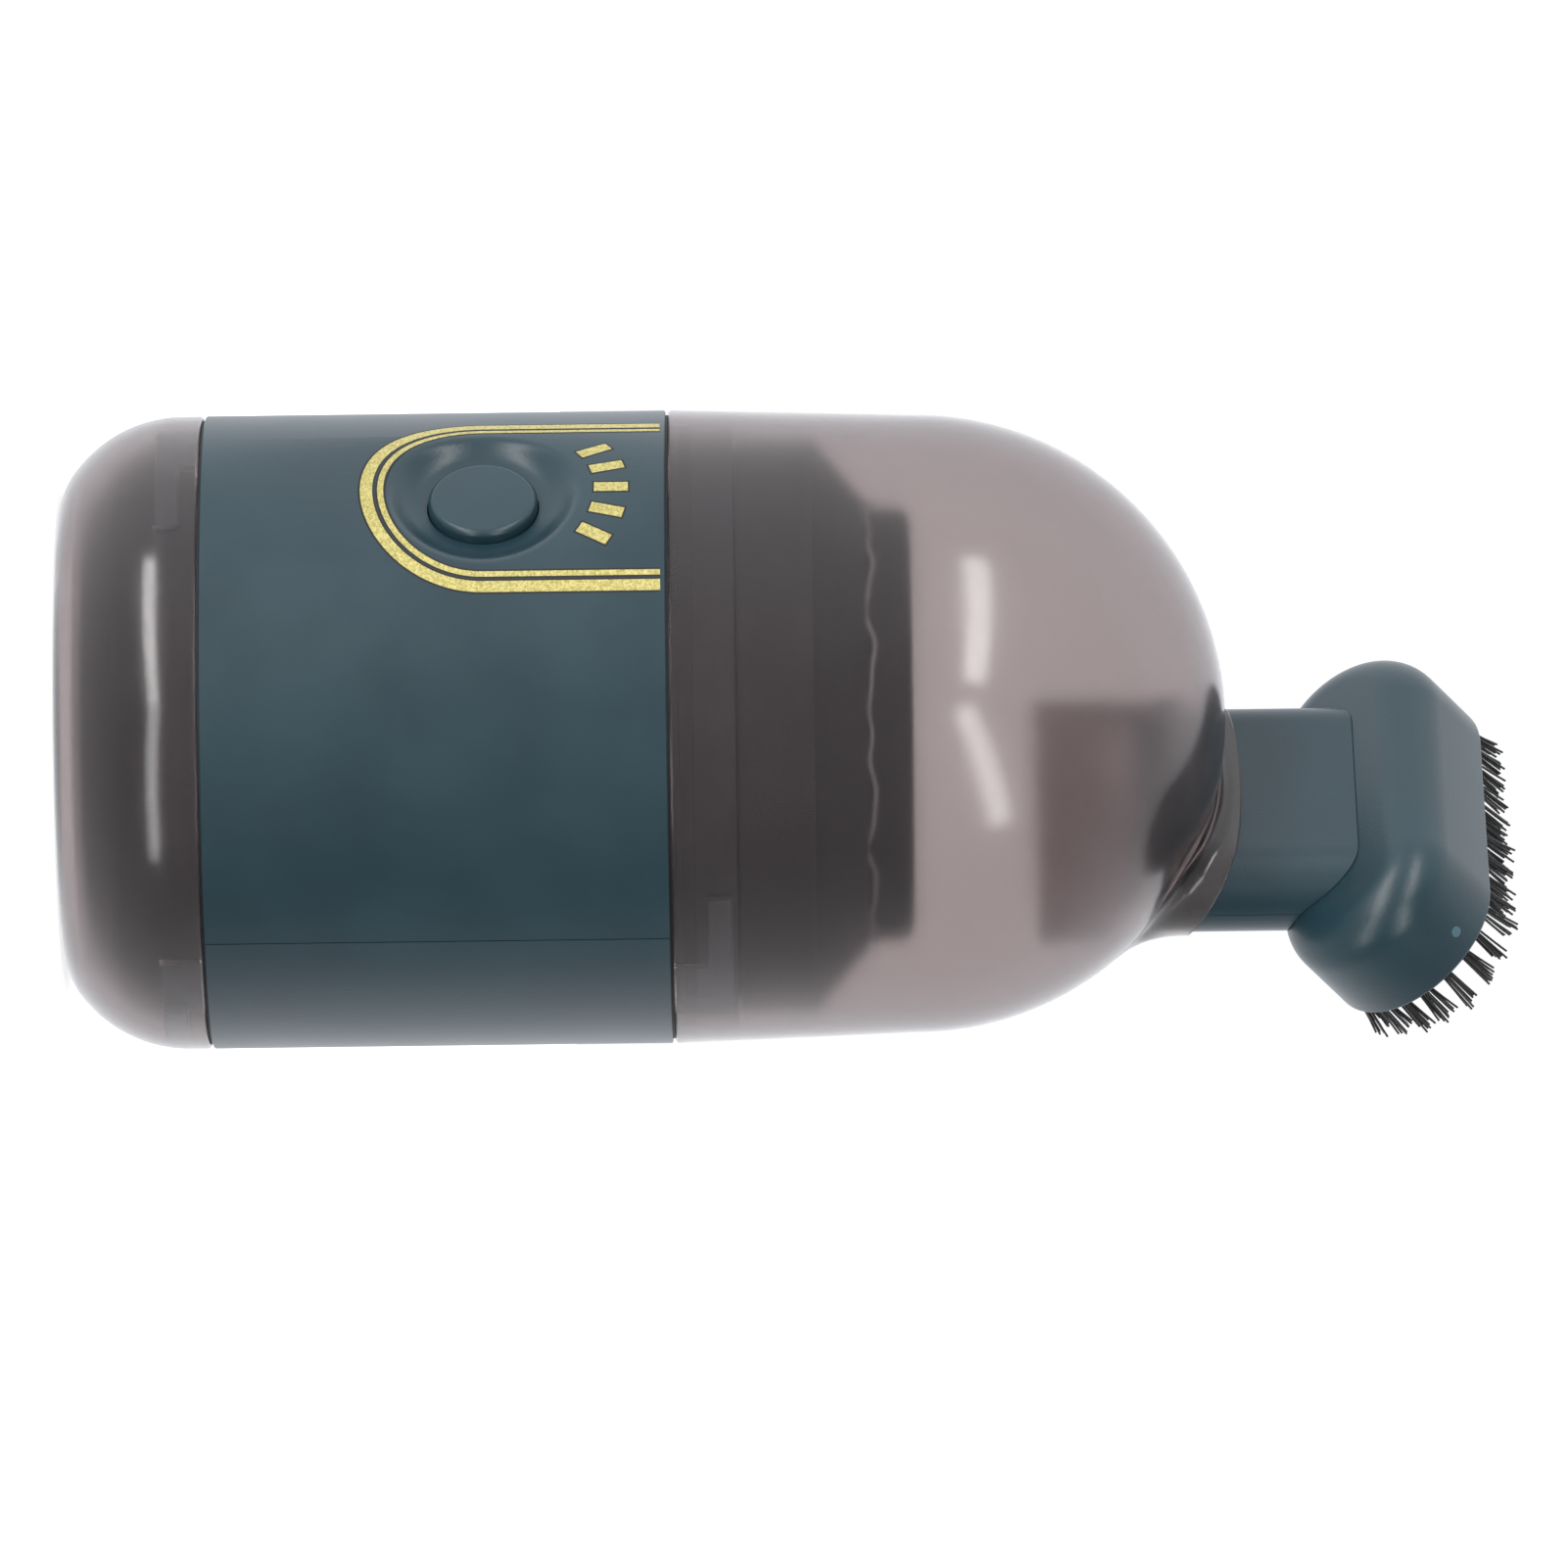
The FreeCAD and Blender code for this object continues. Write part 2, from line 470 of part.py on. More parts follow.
def make_impeller():
    low = WHEEL_Z
    wheel = body("impeller_body")
    outline = sketch(wheel, "impeller_outline", "XZ_Plane", [
        ("Sizes.shaft_radius", low), ("Sizes.impeller_radius", low),
        ("Sizes.impeller_radius", f"{low} + Sizes.plate_thick"),
        ("Sizes.hub_radius + 2.5", f"{low} + Sizes.plate_thick"),
        ("Sizes.hub_radius", f"{low} + Sizes.plate_thick + 2.5", "-2.5"),
        ("Sizes.hub_radius", f"{low} + Sizes.impeller_height"),
        ("Sizes.shaft_radius", f"{low} + Sizes.impeller_height")])
    revolve(wheel, outline, "impeller_wheel")
    tip = "(Sizes.impeller_radius - 0.4)"
    tip_x = f"{tip} * cos(Sizes.blade_sweep)"
    tip_y = f"{tip} * sin(Sizes.blade_sweep)"
    back_x = f"({tip} - 0.3) * cos(Sizes.blade_sweep - 3)"
    back_y = f"({tip} - 0.3) * sin(Sizes.blade_sweep - 3)"
    blade = sketch(wheel, "blade_outline", "XY_Plane", [
        ("Sizes.blade_root", "Sizes.blade_thick / 2", "-Sizes.blade_curve"),
        ("Sizes.blade_root", "-Sizes.blade_thick / 2"), (back_x, back_y, "Sizes.blade_curve"), (tip_x, tip_y)],
        f"{low} + Sizes.plate_thick / 2")
    first = pad(wheel, blade, "blade", "Sizes.impeller_height - Sizes.plate_thick / 2 - 0.2")
    ring = wheel.newObject("PartDesign::PolarPattern", "blades")
    ring.Originals = [first]
    ring.Axis = (outline, ["V_Axis"])
    ring.Angle = 360
    ring.Occurrences = BLADES
    wheel.Tip = ring
    node(wheel, "impeller")


def make_motor():
    can = turned("motor_shell", [
        ("Sizes.shaft_radius + Sizes.running_gap", MOTOR_Z), ("Sizes.motor_radius", MOTOR_Z),
        ("Sizes.motor_radius", "Sizes.bulkhead_z"), ("Sizes.nose_radius", "Sizes.bulkhead_z"),
        ("Sizes.nose_radius", "Sizes.bulkhead_z + Sizes.nose_height"),
        ("Sizes.shaft_radius + Sizes.running_gap", "Sizes.bulkhead_z + Sizes.nose_height")])
    holes = [cylinder(f"can_hole_{side}", "Sizes.screw_radius + Sizes.seat_gap", "Sizes.screw_length",
                      f"{side} * Sizes.motor_screw_x", "0",
                      "Sizes.bulkhead_z - Sizes.screw_length + 1") for side in (-1, 1)]
    node(cut("can_cut", can, *holes), "motor_can")
    node(turned("endbell_body", [
        ("Sizes.shaft_radius + Sizes.running_gap", f"{MOTOR_Z} - Sizes.endbell_length"),
        ("Sizes.motor_radius - 2", f"{MOTOR_Z} - Sizes.endbell_length"),
        ("Sizes.motor_radius - 0.6", MOTOR_Z),
        ("Sizes.shaft_radius + Sizes.running_gap", MOTOR_Z)]), "motor_endbell")
    node(turned("sleeve_body", [
        ("Sizes.motor_radius + Sizes.seat_gap", f"{MOTOR_Z} + 2"),
        ("Sizes.motor_radius + Sizes.sleeve_thick", f"{MOTOR_Z} + 2"),
        ("Sizes.motor_radius + Sizes.sleeve_thick", f"{MOTOR_Z} + 2 + Sizes.sleeve_height"),
        ("Sizes.motor_radius + Sizes.seat_gap", f"{MOTOR_Z} + 2 + Sizes.sleeve_height")]), "motor_sleeve")
    shaft_low = f"({MOTOR_Z} - Sizes.endbell_length - 1)"
    node(cylinder("shaft_rod", "Sizes.shaft_radius",
                  f"{WHEEL_Z} + Sizes.impeller_height - {shaft_low}",
                  z=shaft_low), "motor_shaft")


# Cells and the bridge that holds them down

def make_cells():
    for name, side in (("battery_left", -1), ("battery_right", 1)):
        can = cylinder(name + "_can", "Sizes.cell_radius", "Sizes.cell_length - 1", f"{side} * Sizes.cell_offset",
                       "0", "Sizes.cell_floor_z")
        tip = cylinder(name + "_tip", "Sizes.cell_radius / 3", "1.5", f"{side} * Sizes.cell_offset", "0",
                       f"{CELL_TOP} - 1.5")
        node(joined(name + "_whole", can, tip), name)
    plate = mid_box("bridge_plate", "Sizes.bridge_length", "Sizes.bridge_width", "Sizes.bridge_thick",
                    "-Sizes.bridge_width / 2", f"{CELL_TOP}")
    hole = cylinder("bridge_hole", "Sizes.motor_radius + Sizes.running_gap", "10", z=f"{CELL_TOP} - 3")
    node(cut("bridge_cut", plate, hole), "battery_bridge")


# Button, switch and their board

def make_button():
    flange_y = f"({DISH_BACK_Y} - Sizes.seat_gap)"
    cap = cylinder("button_cap", "Sizes.button_radius", f"{FACE_Y} - {flange_y} + Sizes.flange_height / 2",
                   "0", f"-{FACE_Y}", "Sizes.button_z", "back")
    flange = cylinder("button_rim", "Sizes.button_radius + Sizes.button_flange", "Sizes.flange_height", "0",
                      f"-{flange_y}", "Sizes.button_z", "back")
    whole = joined("button_whole", cap, flange)
    doc.recompute()
    rounded = doc.addObject("Part::Fillet", "button_rounded")
    rounded.Base = whole
    edge_size = size("Sizes.button_edge")
    front = [i for i, rim in enumerate(whole.Shape.Edges, start=1)
             if rim.BoundBox.YMax < -size(FACE_Y) + 0.01 and rim.Length > 6]
    rounded.Edges = [(i, edge_size, edge_size) for i in front]
    node(rounded, "power_button")


def make_switch():
    board_front = "(-Sizes.board_y)"
    plate = mid_box("board_plate", "Sizes.board_width", "Sizes.board_thick", "Sizes.board_height", board_front,
                    "Sizes.board_low_z")
    holes = []
    for x in ("-Sizes.post_x", "Sizes.post_x"):
        for z in ("Sizes.post_low_z", "Sizes.post_high_z"):
            holes.append(cylinder(f"board_hole_{len(holes)}", "Sizes.screw_radius + Sizes.seat_gap", "10", x,
                                  f"{board_front} - 2", z, "back"))
    node(cut("board_cut", plate, *holes), "button_board")
    case = mid_box("switch_case", "Sizes.switch_width", "Sizes.switch_depth", "Sizes.switch_width",
                   f"{board_front} - Sizes.switch_depth", "Sizes.button_z - Sizes.switch_width / 2")
    well = cylinder("switch_well", "Sizes.plunger_radius + Sizes.running_gap / 2", "Sizes.switch_depth - 0.8",
                    "0", f"{board_front} - Sizes.switch_depth", "Sizes.button_z", "back")
    node(cut("switch_cut", case, well), "push_switch")
    back = f"-({DISH_BACK_Y} - Sizes.seat_gap - Sizes.flange_height)"
    node(cylinder("plunger_rod", "Sizes.plunger_radius",
                  f"-({back}) - Sizes.board_y - Sizes.switch_depth + Sizes.running_gap * 2", "0", back,
                  "Sizes.button_z", "back"), "switch_plunger")


def screw(x, y, z, direction):
    """A small pan-head screw whose head's seat is at the given point."""
    base = Vector(size(x), size(y), size(z))
    way = Vector(*direction)
    head = Part.makeCylinder(size("Sizes.screw_head_radius"), size("Sizes.screw_head_height"), base, way * -1)
    shank = Part.makeCylinder(size("Sizes.screw_radius"), size("Sizes.screw_length"), base, way)
    return head.fuse(shank).removeSplitter()


def make_screws():
    board = [screw(x, "-Sizes.board_y + Sizes.board_thick", z, (0, -1, 0))
             for x in ("-Sizes.post_x", "Sizes.post_x") for z in ("Sizes.post_low_z", "Sizes.post_high_z")]
    node(copies("board_screw_set", board), "board_screws")
    motor = [screw(f"{side} * Sizes.motor_screw_x", "0", SHROUD_Z, (0, 0, -1)) for side in (-1, 1)]
    node(copies("motor_screw_set", motor), "motor_screws")


# Charging board and port, low at the back

def make_charging():
    shelf_y = f"(sqrt(({INNER} + Sizes.wall / 2)^2 - (Sizes.shelf_width / 2)^2) - Sizes.shelf_depth)"
    plate = mid_box("charge_plate", "Sizes.shelf_width", "Sizes.charge_board_depth - 1", "Sizes.board_thick",
                    "Sizes.charge_board_y", f"{PORT_FLOOR} - Sizes.board_thick")
    holes = [cylinder(f"charge_hole_{side}", "Sizes.screw_radius + Sizes.seat_gap", "10",
                      f"{side} * (Sizes.shelf_width / 2 - 3)", f"{shelf_y} + 3",
                      f"{PORT_FLOOR} - 5") for side in (-1, 1)]
    limit = cylinder("charge_limit", f"{INNER} - Sizes.running_gap", "Sizes.body_height", z="Sizes.cap_height")
    node(shared("charge_whole", cut("charge_cut", plate, *holes), limit), "charge_board")
    shell = mid_box("port_shell", "Sizes.port_width", "Sizes.port_depth", "Sizes.port_height",
                    f"{INNER} - Sizes.port_depth + 0.6", PORT_FLOOR)
    mouth = mid_box("port_mouth", "Sizes.port_width - 0.8", "Sizes.port_depth - 1", "Sizes.port_height - 0.8",
                    f"{INNER} - Sizes.port_depth + 2.6", f"{PORT_FLOOR} + 0.4")
    tongue = mid_box("port_tongue", "Sizes.port_width - 2.4", "Sizes.port_depth - 3", "0.7",
                     f"{INNER} - Sizes.port_depth + 2", "Sizes.port_z - 0.35")
    node(joined("port_whole", cut("port_cut", shell, mouth), tongue), "usb_port")
    holders = [screw(f"{side} * (Sizes.shelf_width / 2 - 3)", f"{shelf_y} + 3", PORT_FLOOR, (0, 0, -1))
               for side in (-1, 1)]
    node(copies("charge_screw_set", holders), "charge_screws")


# Filter: a stepped frame that plugs into the collar, a foam puck on top and a gauze disc inside

def make_filter():
    foot = FILTER_FOOT
    shoulder = f"({FILTER_FOOT} + Sizes.filter_skirt)"
    top = FILTER_TOP
    plug = f"({SPIGOT_BORE} - Sizes.running_gap)"
    wall = "Sizes.filter_wall"
    node(turned("filter_shell", [
        (plug, f"{foot} - Sizes.plug_depth"), (plug, foot), ("Sizes.filter_radius", foot),
        ("Sizes.filter_radius", shoulder), ("Sizes.filter_top_radius", top), ("Sizes.filter_bore", top),
        ("Sizes.filter_bore", f"{top} - {wall}"), (f"Sizes.filter_top_radius - {wall} * 0.6", f"{top} - {wall}"),
        (f"Sizes.filter_radius - {wall} * 1.4", f"{shoulder} - {wall} * 0.4"),
        (f"Sizes.filter_radius - {wall} * 1.4", f"{foot} + {wall}"), (f"{plug} - {wall}", f"{foot} + {wall}"),
        (f"{plug} - {wall}", f"{foot} - Sizes.plug_depth")]), "filter_frame")
    high = f"({top} + Sizes.puck_height)"
    node(turned("puck_body", [
        ("0", f"{top} - {wall} * 2"), (f"Sizes.filter_bore - Sizes.seat_gap", f"{top} - {wall} * 2"),
        (f"Sizes.filter_bore - Sizes.seat_gap", top), ("Sizes.puck_radius", top),
        ("Sizes.puck_radius", f"{high} - Sizes.puck_round"),
        ("Sizes.puck_radius - Sizes.puck_round", high, "Sizes.puck_round"), ("0", high)]), "filter_foam")
    node(cylinder("gauze_disc", f"{plug} - {wall} - Sizes.seat_gap", "Sizes.gauze_thick",
                  z=f"{foot} + {wall} - Sizes.gauze_thick - 2"), "filter_gauze")


# Nozzle: the brush head, its stem, the neck and the cup that they plug into

def head_block(name, grow):
    """The head's outer form, tilted so that its mouth faces up and back."""
    made = body(name)
    outline = sketch(made, name + "_outline", "XY_Plane", slot_points(
        f"Sizes.head_half_length + {grow}", f"Sizes.head_half_width + {grow}"), f"-{grow}")
    block = pad(made, outline, name + "_pad", f"Sizes.head_depth + {grow}")
    doc.recompute()
    rounding = made.newObject("PartDesign::Fillet", name + "_round")
    rims = [f"Edge{i}" for i, rim in enumerate(block.Shape.Edges, start=1)
            if rim.BoundBox.ZMax < -size(grow) + 0.01]
    rounding.Base = (block, rims)
    bind(rounding, Radius=f"Sizes.head_round + {grow}")
    return tilt(made)


def tilt(item):
    """Place a body of the head's own frame on the machine."""
    item.Placement = Placement(Vector(0, size("Sizes.head_y"), size("Sizes.head_z")),
                               Rotation(Vector(-1, 0, 0), size("Sizes.head_tilt")))
    return bind(item, Placement__Base__y="Sizes.head_y", Placement__Base__z="Sizes.head_z",
                Placement__Rotation__Angle="Sizes.head_tilt")


def stem_block(name, inset, low, high):
    """An upright block inside the neck's bore, smaller by inset."""
    return slot_block(name, f"Sizes.neck_half_width - Sizes.neck_wall - {inset}",
                      f"Sizes.neck_half_depth - Sizes.neck_wall - {inset}", "Sizes.neck_offset", low, high)


def rim_block(name, inset, low, high):
    """A block in the head's own frame, smaller than the head by inset."""
    made = body(name)
    outline = sketch(made, name + "_outline", "XY_Plane", slot_points(
        f"Sizes.head_half_length - {inset}", f"Sizes.head_half_width - {inset}"), low)
    pad(made, outline, name + "_pad", f"{high} - ({low})")
    return tilt(made)


def make_brush_head():
    """A hollow head with a groove for the bristles round its mouth and a stem that plugs into the neck."""
    outer = head_block("head_outer", "0")
    stem = stem_block("stem_outer", "Sizes.seat_gap", "Sizes.stem_foot_z", "Sizes.head_z")
    bore = stem_block("stem_bore", "Sizes.seat_gap - Sizes.stem_wall", "(Sizes.stem_foot_z - 1)",
                      "(Sizes.head_z + 5)")
    mouth = rim_block("mouth", "Sizes.head_wall", "Sizes.head_back_wall", "(Sizes.head_depth + 1)")
    floor = "(Sizes.head_depth - Sizes.groove_depth)"
    groove = cut("groove", rim_block("groove_out", "(Sizes.groove_inset - Sizes.groove_width / 2)", floor,
                                     "(Sizes.head_depth + 1)"),
                 rim_block("groove_in", "(Sizes.groove_inset + Sizes.groove_width / 2)", f"({floor} - 1)",
                           "(Sizes.head_depth + 2)"))
    node(cut("head_cut", joined("head_whole", outer, stem), mouth, bore, groove), "brush_head")


def round_the_slot(half_length, half_width, travel):
    """A point and its outward normal, at a distance along a stadium's outline."""
    straight = half_length - half_width
    quarter = 2 * straight
    half_round = math.pi * half_width
    travel = travel % (2 * quarter + 2 * half_round)
    side = 1 if travel < quarter + half_round else -1
    travel = travel % (quarter + half_round)
    if travel < quarter:
        return Vector(side * (travel - straight), -side * half_width, 0), Vector(0, -side, 0)
    turn = (travel - quarter) / half_width - math.pi / 2
    normal = Vector(math.cos(turn) * side, math.sin(turn) * side, 0)
    return Vector(side * straight, 0, 0) + normal * half_width, normal


def hexagon(centre, radius):
    corners = [centre + Vector(radius * math.cos(math.radians(60 * i)), radius * math.sin(math.radians(60 * i)), 0)
               for i in range(7)]
    return Part.makePolygon(corners)


def make_bristles():
    """Tufts stand in the groove and lean outwards; each one is a separate solid."""
    half_length = size("Sizes.head_half_length - Sizes.groove_inset")
    half_width = size("Sizes.head_half_width - Sizes.groove_inset")
    around = 4 * (half_length - half_width) + 2 * math.pi * half_width
    count = int(around // size("Sizes.tuft_pitch"))
    floor = size("Sizes.head_depth - Sizes.groove_depth")
    length = size("Sizes.tuft_length")
    up = Vector(0, 0, 1)
    tufts = []
    for i in range(count):
        point, normal = round_the_slot(half_length, half_width, around * i / count)
        foot = point + up * floor
        tip = foot + up * length + normal * (length * math.tan(math.radians(size("Sizes.tuft_splay"))))
        rings = [hexagon(foot, size("Sizes.tuft_radius")), hexagon(tip, size("Sizes.tuft_tip_radius"))]
        tufts.append(Part.makeLoft(rings, True, True))
    node(tilt(copies("tuft_set", tufts)), "bristle_tufts")


def make_neck():
    """The flat neck is trimmed to the back of the brush head that it carries."""
    outer = slot_block("neck_outer", "Sizes.neck_half_width", "Sizes.neck_half_depth", "Sizes.neck_offset",
                       "Sizes.neck_root_z", "(Sizes.head_z + 3)")
    bore = stem_block("neck_bore", "0", "(Sizes.neck_root_z - 1)", "(Sizes.head_z + 5)")
    node(cut("neck_cut", outer, bore, head_block("head_room", "Sizes.running_gap / 2")), "nozzle_neck")


# The clear dust cup: taper, half sphere, a collar round the neck's root and an inner duct

def cup_slots():
    slots = []
    wide = "(Sizes.lug_angle + Sizes.lug_side_gap)"
    low = f"({BODY_TOP} + Sizes.lug_rise - Sizes.running_gap)"
    height = "(Sizes.lug_height + 2 * Sizes.running_gap)"
    for i in range(2):
        bearing = 180 * i
        slots.append(sector(f"cup_lock_{i}", SLOT_REACH, f"{wide} + Sizes.unlock_turn", low, height,
                            f"{bearing} + Sizes.unlock_turn / 2"))
        slots.append(sector(f"cup_entry_{i}", SLOT_REACH, wide, f"{BODY_TOP} - 1",
                            f"{low} - {BODY_TOP} + 1 + {height}", f"{bearing} + Sizes.unlock_turn"))
    return slots


def make_dust_cup():
    rim = f"({BODY_TOP} + Sizes.seam_gap / 2)"
    shell = turned("cup_shell", [
        (INNER, rim), ("Sizes.body_radius", rim), (DOME, DOME_Z),
        ("0", f"{DOME_Z} + {DOME}", DOME), ("0", f"{DOME_Z} + {DOME} - Sizes.wall"),
        (f"{DOME} - Sizes.wall", DOME_Z, f"-({DOME} - Sizes.wall)")])
    sleeve = slot_block("duct_sleeve", "Sizes.neck_half_width + Sizes.sleeve_wall",
                        "Sizes.neck_half_depth + Sizes.sleeve_wall", "Sizes.neck_offset",
                        "Sizes.sleeve_foot_z", "Sizes.collar_rim_z")
    slope = box("rim_slope", "2 * Sizes.body_radius", "Sizes.body_radius", "Sizes.body_radius",
                "-Sizes.body_radius", "Sizes.neck_offset - Sizes.neck_half_depth - Sizes.sleeve_wall",
                "Sizes.collar_rim_z")
    slope.Placement = Placement(slope.Placement.Base, Rotation(Vector(-1, 0, 0), size("Sizes.collar_rim_fall")))
    bind(slope, Placement__Rotation__Angle="Sizes.collar_rim_fall")
    whole = joined("cup_whole", shell, cut("sleeve_sloped", sleeve, slope))
    doc.recompute()
    flared = doc.addObject("Part::Fillet", "cup_flared")
    flared.Base = whole
    centre = Vector(0, 0, size(DOME_Z))
    flare = size("Sizes.collar_flare")
    flared.Edges = [(i, flare, flare) for i, line in enumerate(whole.Shape.Edges, start=1)
                    if line.Length > flare and line.BoundBox.ZMin > size("Sizes.sleeve_foot_z + 8") and all(
                        abs((point - centre).Length - size(DOME)) < 0.01 for point in line.discretize(5))]
    neck_seat = slot_block("neck_seat", "Sizes.neck_half_width + Sizes.seat_gap",
                           "Sizes.neck_half_depth + Sizes.seat_gap", "Sizes.neck_offset",
                           "Sizes.neck_root_z", "(Sizes.collar_rim_z + 5)")
    duct = slot_block("duct_bore", "Sizes.neck_half_width - Sizes.bore_shoulder",
                      "Sizes.neck_half_depth - Sizes.bore_shoulder", "Sizes.neck_offset",
                      "(Sizes.sleeve_foot_z - 1)", "(Sizes.neck_root_z + 1)")
    node(cut("cup_cut", flared, neck_seat, duct, *cup_slots()), "dust_cup")


# The whole machine, from the foot up

for make in (make_rear_cap, make_housing_front, make_housing_back, make_front_collar, make_rear_tray,
             make_bulkhead, make_shroud, make_impeller, make_motor, make_cells, make_button, make_switch,
             make_screws, make_charging, make_filter, make_brush_head, make_bristles, make_neck,
             make_dust_cup):
    make()
doc.recompute()

for item in doc.Objects:
    if "Invalid" in item.State or "Error" in item.State:
        raise RuntimeError(f"{item.Name} failed: {item.State}")
os.makedirs("parts", exist_ok=True)
for item in nodes:
    shape = item.Shape
    if shape.isNull() or not shape.isValid() or not shape.Solids:
        raise RuntimeError(f"{item.Label} has no valid solid")
    shape.exportStep(f"parts/{item.Label}.step")
    limits = shape.BoundBox
    print(f"{item.Label}: {len(shape.Solids)} solids, {shape.Volume:.0f} mm3,"
          f" x {limits.XMin:.1f} {limits.XMax:.1f} y {limits.YMin:.1f} {limits.YMax:.1f}"
          f" z {limits.ZMin:.1f} {limits.ZMax:.1f}")
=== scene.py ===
# %% [markdown]
# A desktop mini vacuum: a clear rear cap that it stands on, a teal tube with a push button, a clear
# dust cup with a half sphere on top, and an off-centre neck that carries a tilted brush head. The
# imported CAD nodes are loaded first. They give every height that two pieces share, so that nothing is
# fitted by eye.

# %% Load the frame
import json
import math
import random

import bpy
from mathutils import Matrix, Vector


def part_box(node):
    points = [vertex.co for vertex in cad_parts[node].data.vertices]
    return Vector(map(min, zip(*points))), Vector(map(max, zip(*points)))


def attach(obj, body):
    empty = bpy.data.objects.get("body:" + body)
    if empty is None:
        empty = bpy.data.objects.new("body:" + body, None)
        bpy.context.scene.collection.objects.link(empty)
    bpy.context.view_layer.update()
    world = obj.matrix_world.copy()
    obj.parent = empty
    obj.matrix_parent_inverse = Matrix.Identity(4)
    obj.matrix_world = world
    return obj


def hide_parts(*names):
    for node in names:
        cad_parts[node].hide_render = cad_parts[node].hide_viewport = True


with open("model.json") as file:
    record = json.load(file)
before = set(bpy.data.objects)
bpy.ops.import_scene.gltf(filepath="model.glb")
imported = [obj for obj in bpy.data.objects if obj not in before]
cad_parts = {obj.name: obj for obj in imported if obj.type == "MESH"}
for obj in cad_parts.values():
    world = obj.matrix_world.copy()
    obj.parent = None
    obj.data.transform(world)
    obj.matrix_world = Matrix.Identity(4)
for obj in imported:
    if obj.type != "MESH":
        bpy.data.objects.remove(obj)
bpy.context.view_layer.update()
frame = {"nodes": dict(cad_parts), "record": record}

MM = 0.001

# %% [markdown]
# Sizes are written in millimetres, as a maker measures them, and turned to metres where points are
# made. Cap, tube and cup share one radius and one wall. The outer skin is held a hair inside the CAD
# radius, so that the visual model stays inside the CAD box.

# %% Shared sizes
RADIUS = 36.0
SKIN = 0.02
WALL = 2.0
OUTSIDE = RADIUS - SKIN
INSIDE = RADIUS - WALL
CAP_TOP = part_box("rear_cap")[1][2] / MM
TUBE_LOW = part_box("housing_front")[0][2] / MM
TUBE_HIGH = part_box("housing_front")[1][2] / MM
CUP_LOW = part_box("dust_cup")[0][2] / MM
print("seams at", [round(z, 2) for z in (CAP_TOP, TUBE_LOW, TUBE_HIGH, CUP_LOW)], "mm")

# %% [markdown]
# The photograph was taken square to the axis, 48.5 degrees round from the button, with a long lens and
# the machine lying down. Here the machine stands, so the camera is rolled until +Z runs to the right.
# Its matrix is built from three directions, which are used again for the lights.

# %% Camera
VIEW_ANGLE = math.radians(48.5)
ROLL = math.radians(0.73)
DISTANCE = 1700.0
LENS = 343.0
SENSOR = 36.0
AIM_Z = 81.9
AIM_BELOW = 6.7

towards = Vector((math.sin(VIEW_ANGLE), -math.cos(VIEW_ANGLE), 0.0))
down = Vector((math.cos(VIEW_ANGLE), math.sin(VIEW_ANGLE), 0.0))
axis = Vector((0.0, 0.0, 1.0))
right = axis * math.cos(ROLL) + down * math.sin(ROLL)
up = axis * math.sin(ROLL) - down * math.cos(ROLL)

camera_data = bpy.data.cameras.new("photo_camera")
camera_data.lens = LENS
camera_data.sensor_width = SENSOR
camera_data.clip_end = 20.0
camera = bpy.data.objects.new("photo_camera", camera_data)
bpy.context.scene.collection.objects.link(camera)
spot = (axis * AIM_Z + down * AIM_BELOW + towards * DISTANCE) * MM
camera.matrix_world = Matrix.Translation(spot) @ Matrix((right, up, towards)).transposed().to_4x4()
bpy.context.scene.camera = camera
bpy.context.scene.view_settings.view_transform = "Standard"
print("camera at", [round(value, 3) for value in spot], "m")

# %% [markdown]
# Colours are written as sRGB hex, the way a colour picker shows them, and turned to linear light,
# because that is what the renderer mixes. One function adds a node with its settings and links. The
# scale of a pattern is worked out from the real size of its features.

# %% Material helpers
def linear(hex_text):
    """An sRGB colour such as 33505A as linear RGBA."""
    parts = [int(hex_text[i:i + 2], 16) / 255 for i in (0, 2, 4)]
    return [p / 12.92 if p <= 0.04045 else ((p + 0.055) / 1.055) ** 2.4 for p in parts] + [1.0]


def add(material, kind, links=(), **settings):
    """Add a node, set its sockets or properties by name, and link (output, socket) pairs into it."""
    made = material.node_tree.nodes.new(kind)
    for name, value in settings.items():
        socket = name.replace("_", " ")
        if socket in made.inputs:
            made.inputs[socket].default_value = value
        else:
            setattr(made, name, value)
    for output, socket in links:
        material.node_tree.links.new(output, made.inputs[socket])
    return made


def new_material(name):
    """An empty material that is built from nodes."""
    made = bpy.data.materials.new(name)
    made.use_nodes = True
    made.node_tree.nodes.clear()
    return made


def per_metre(size_mm):
    """The scale of a pattern whose features are this many millimetres across."""
    return 1.0 / (size_mm * MM)


print("sRGB 808080 is linear", round(linear("808080")[0], 3))

# %% [markdown]
# A moulded or plated surface is never one flat colour. Its tone and gloss drift over a centimetre or
# so, and the tool leaves a fine grain that spreads the glints. A wide noise does the first and a fine
# noise in the bump does the second. The real grain is about 0.05 mm, and it is drawn several times
# coarser so that it shows.

# %% Opaque surfaces
CLOUD_SIZE = 14.0
GRAIN_HEIGHT = 0.05
GLOSS_DRIFT = 0.04


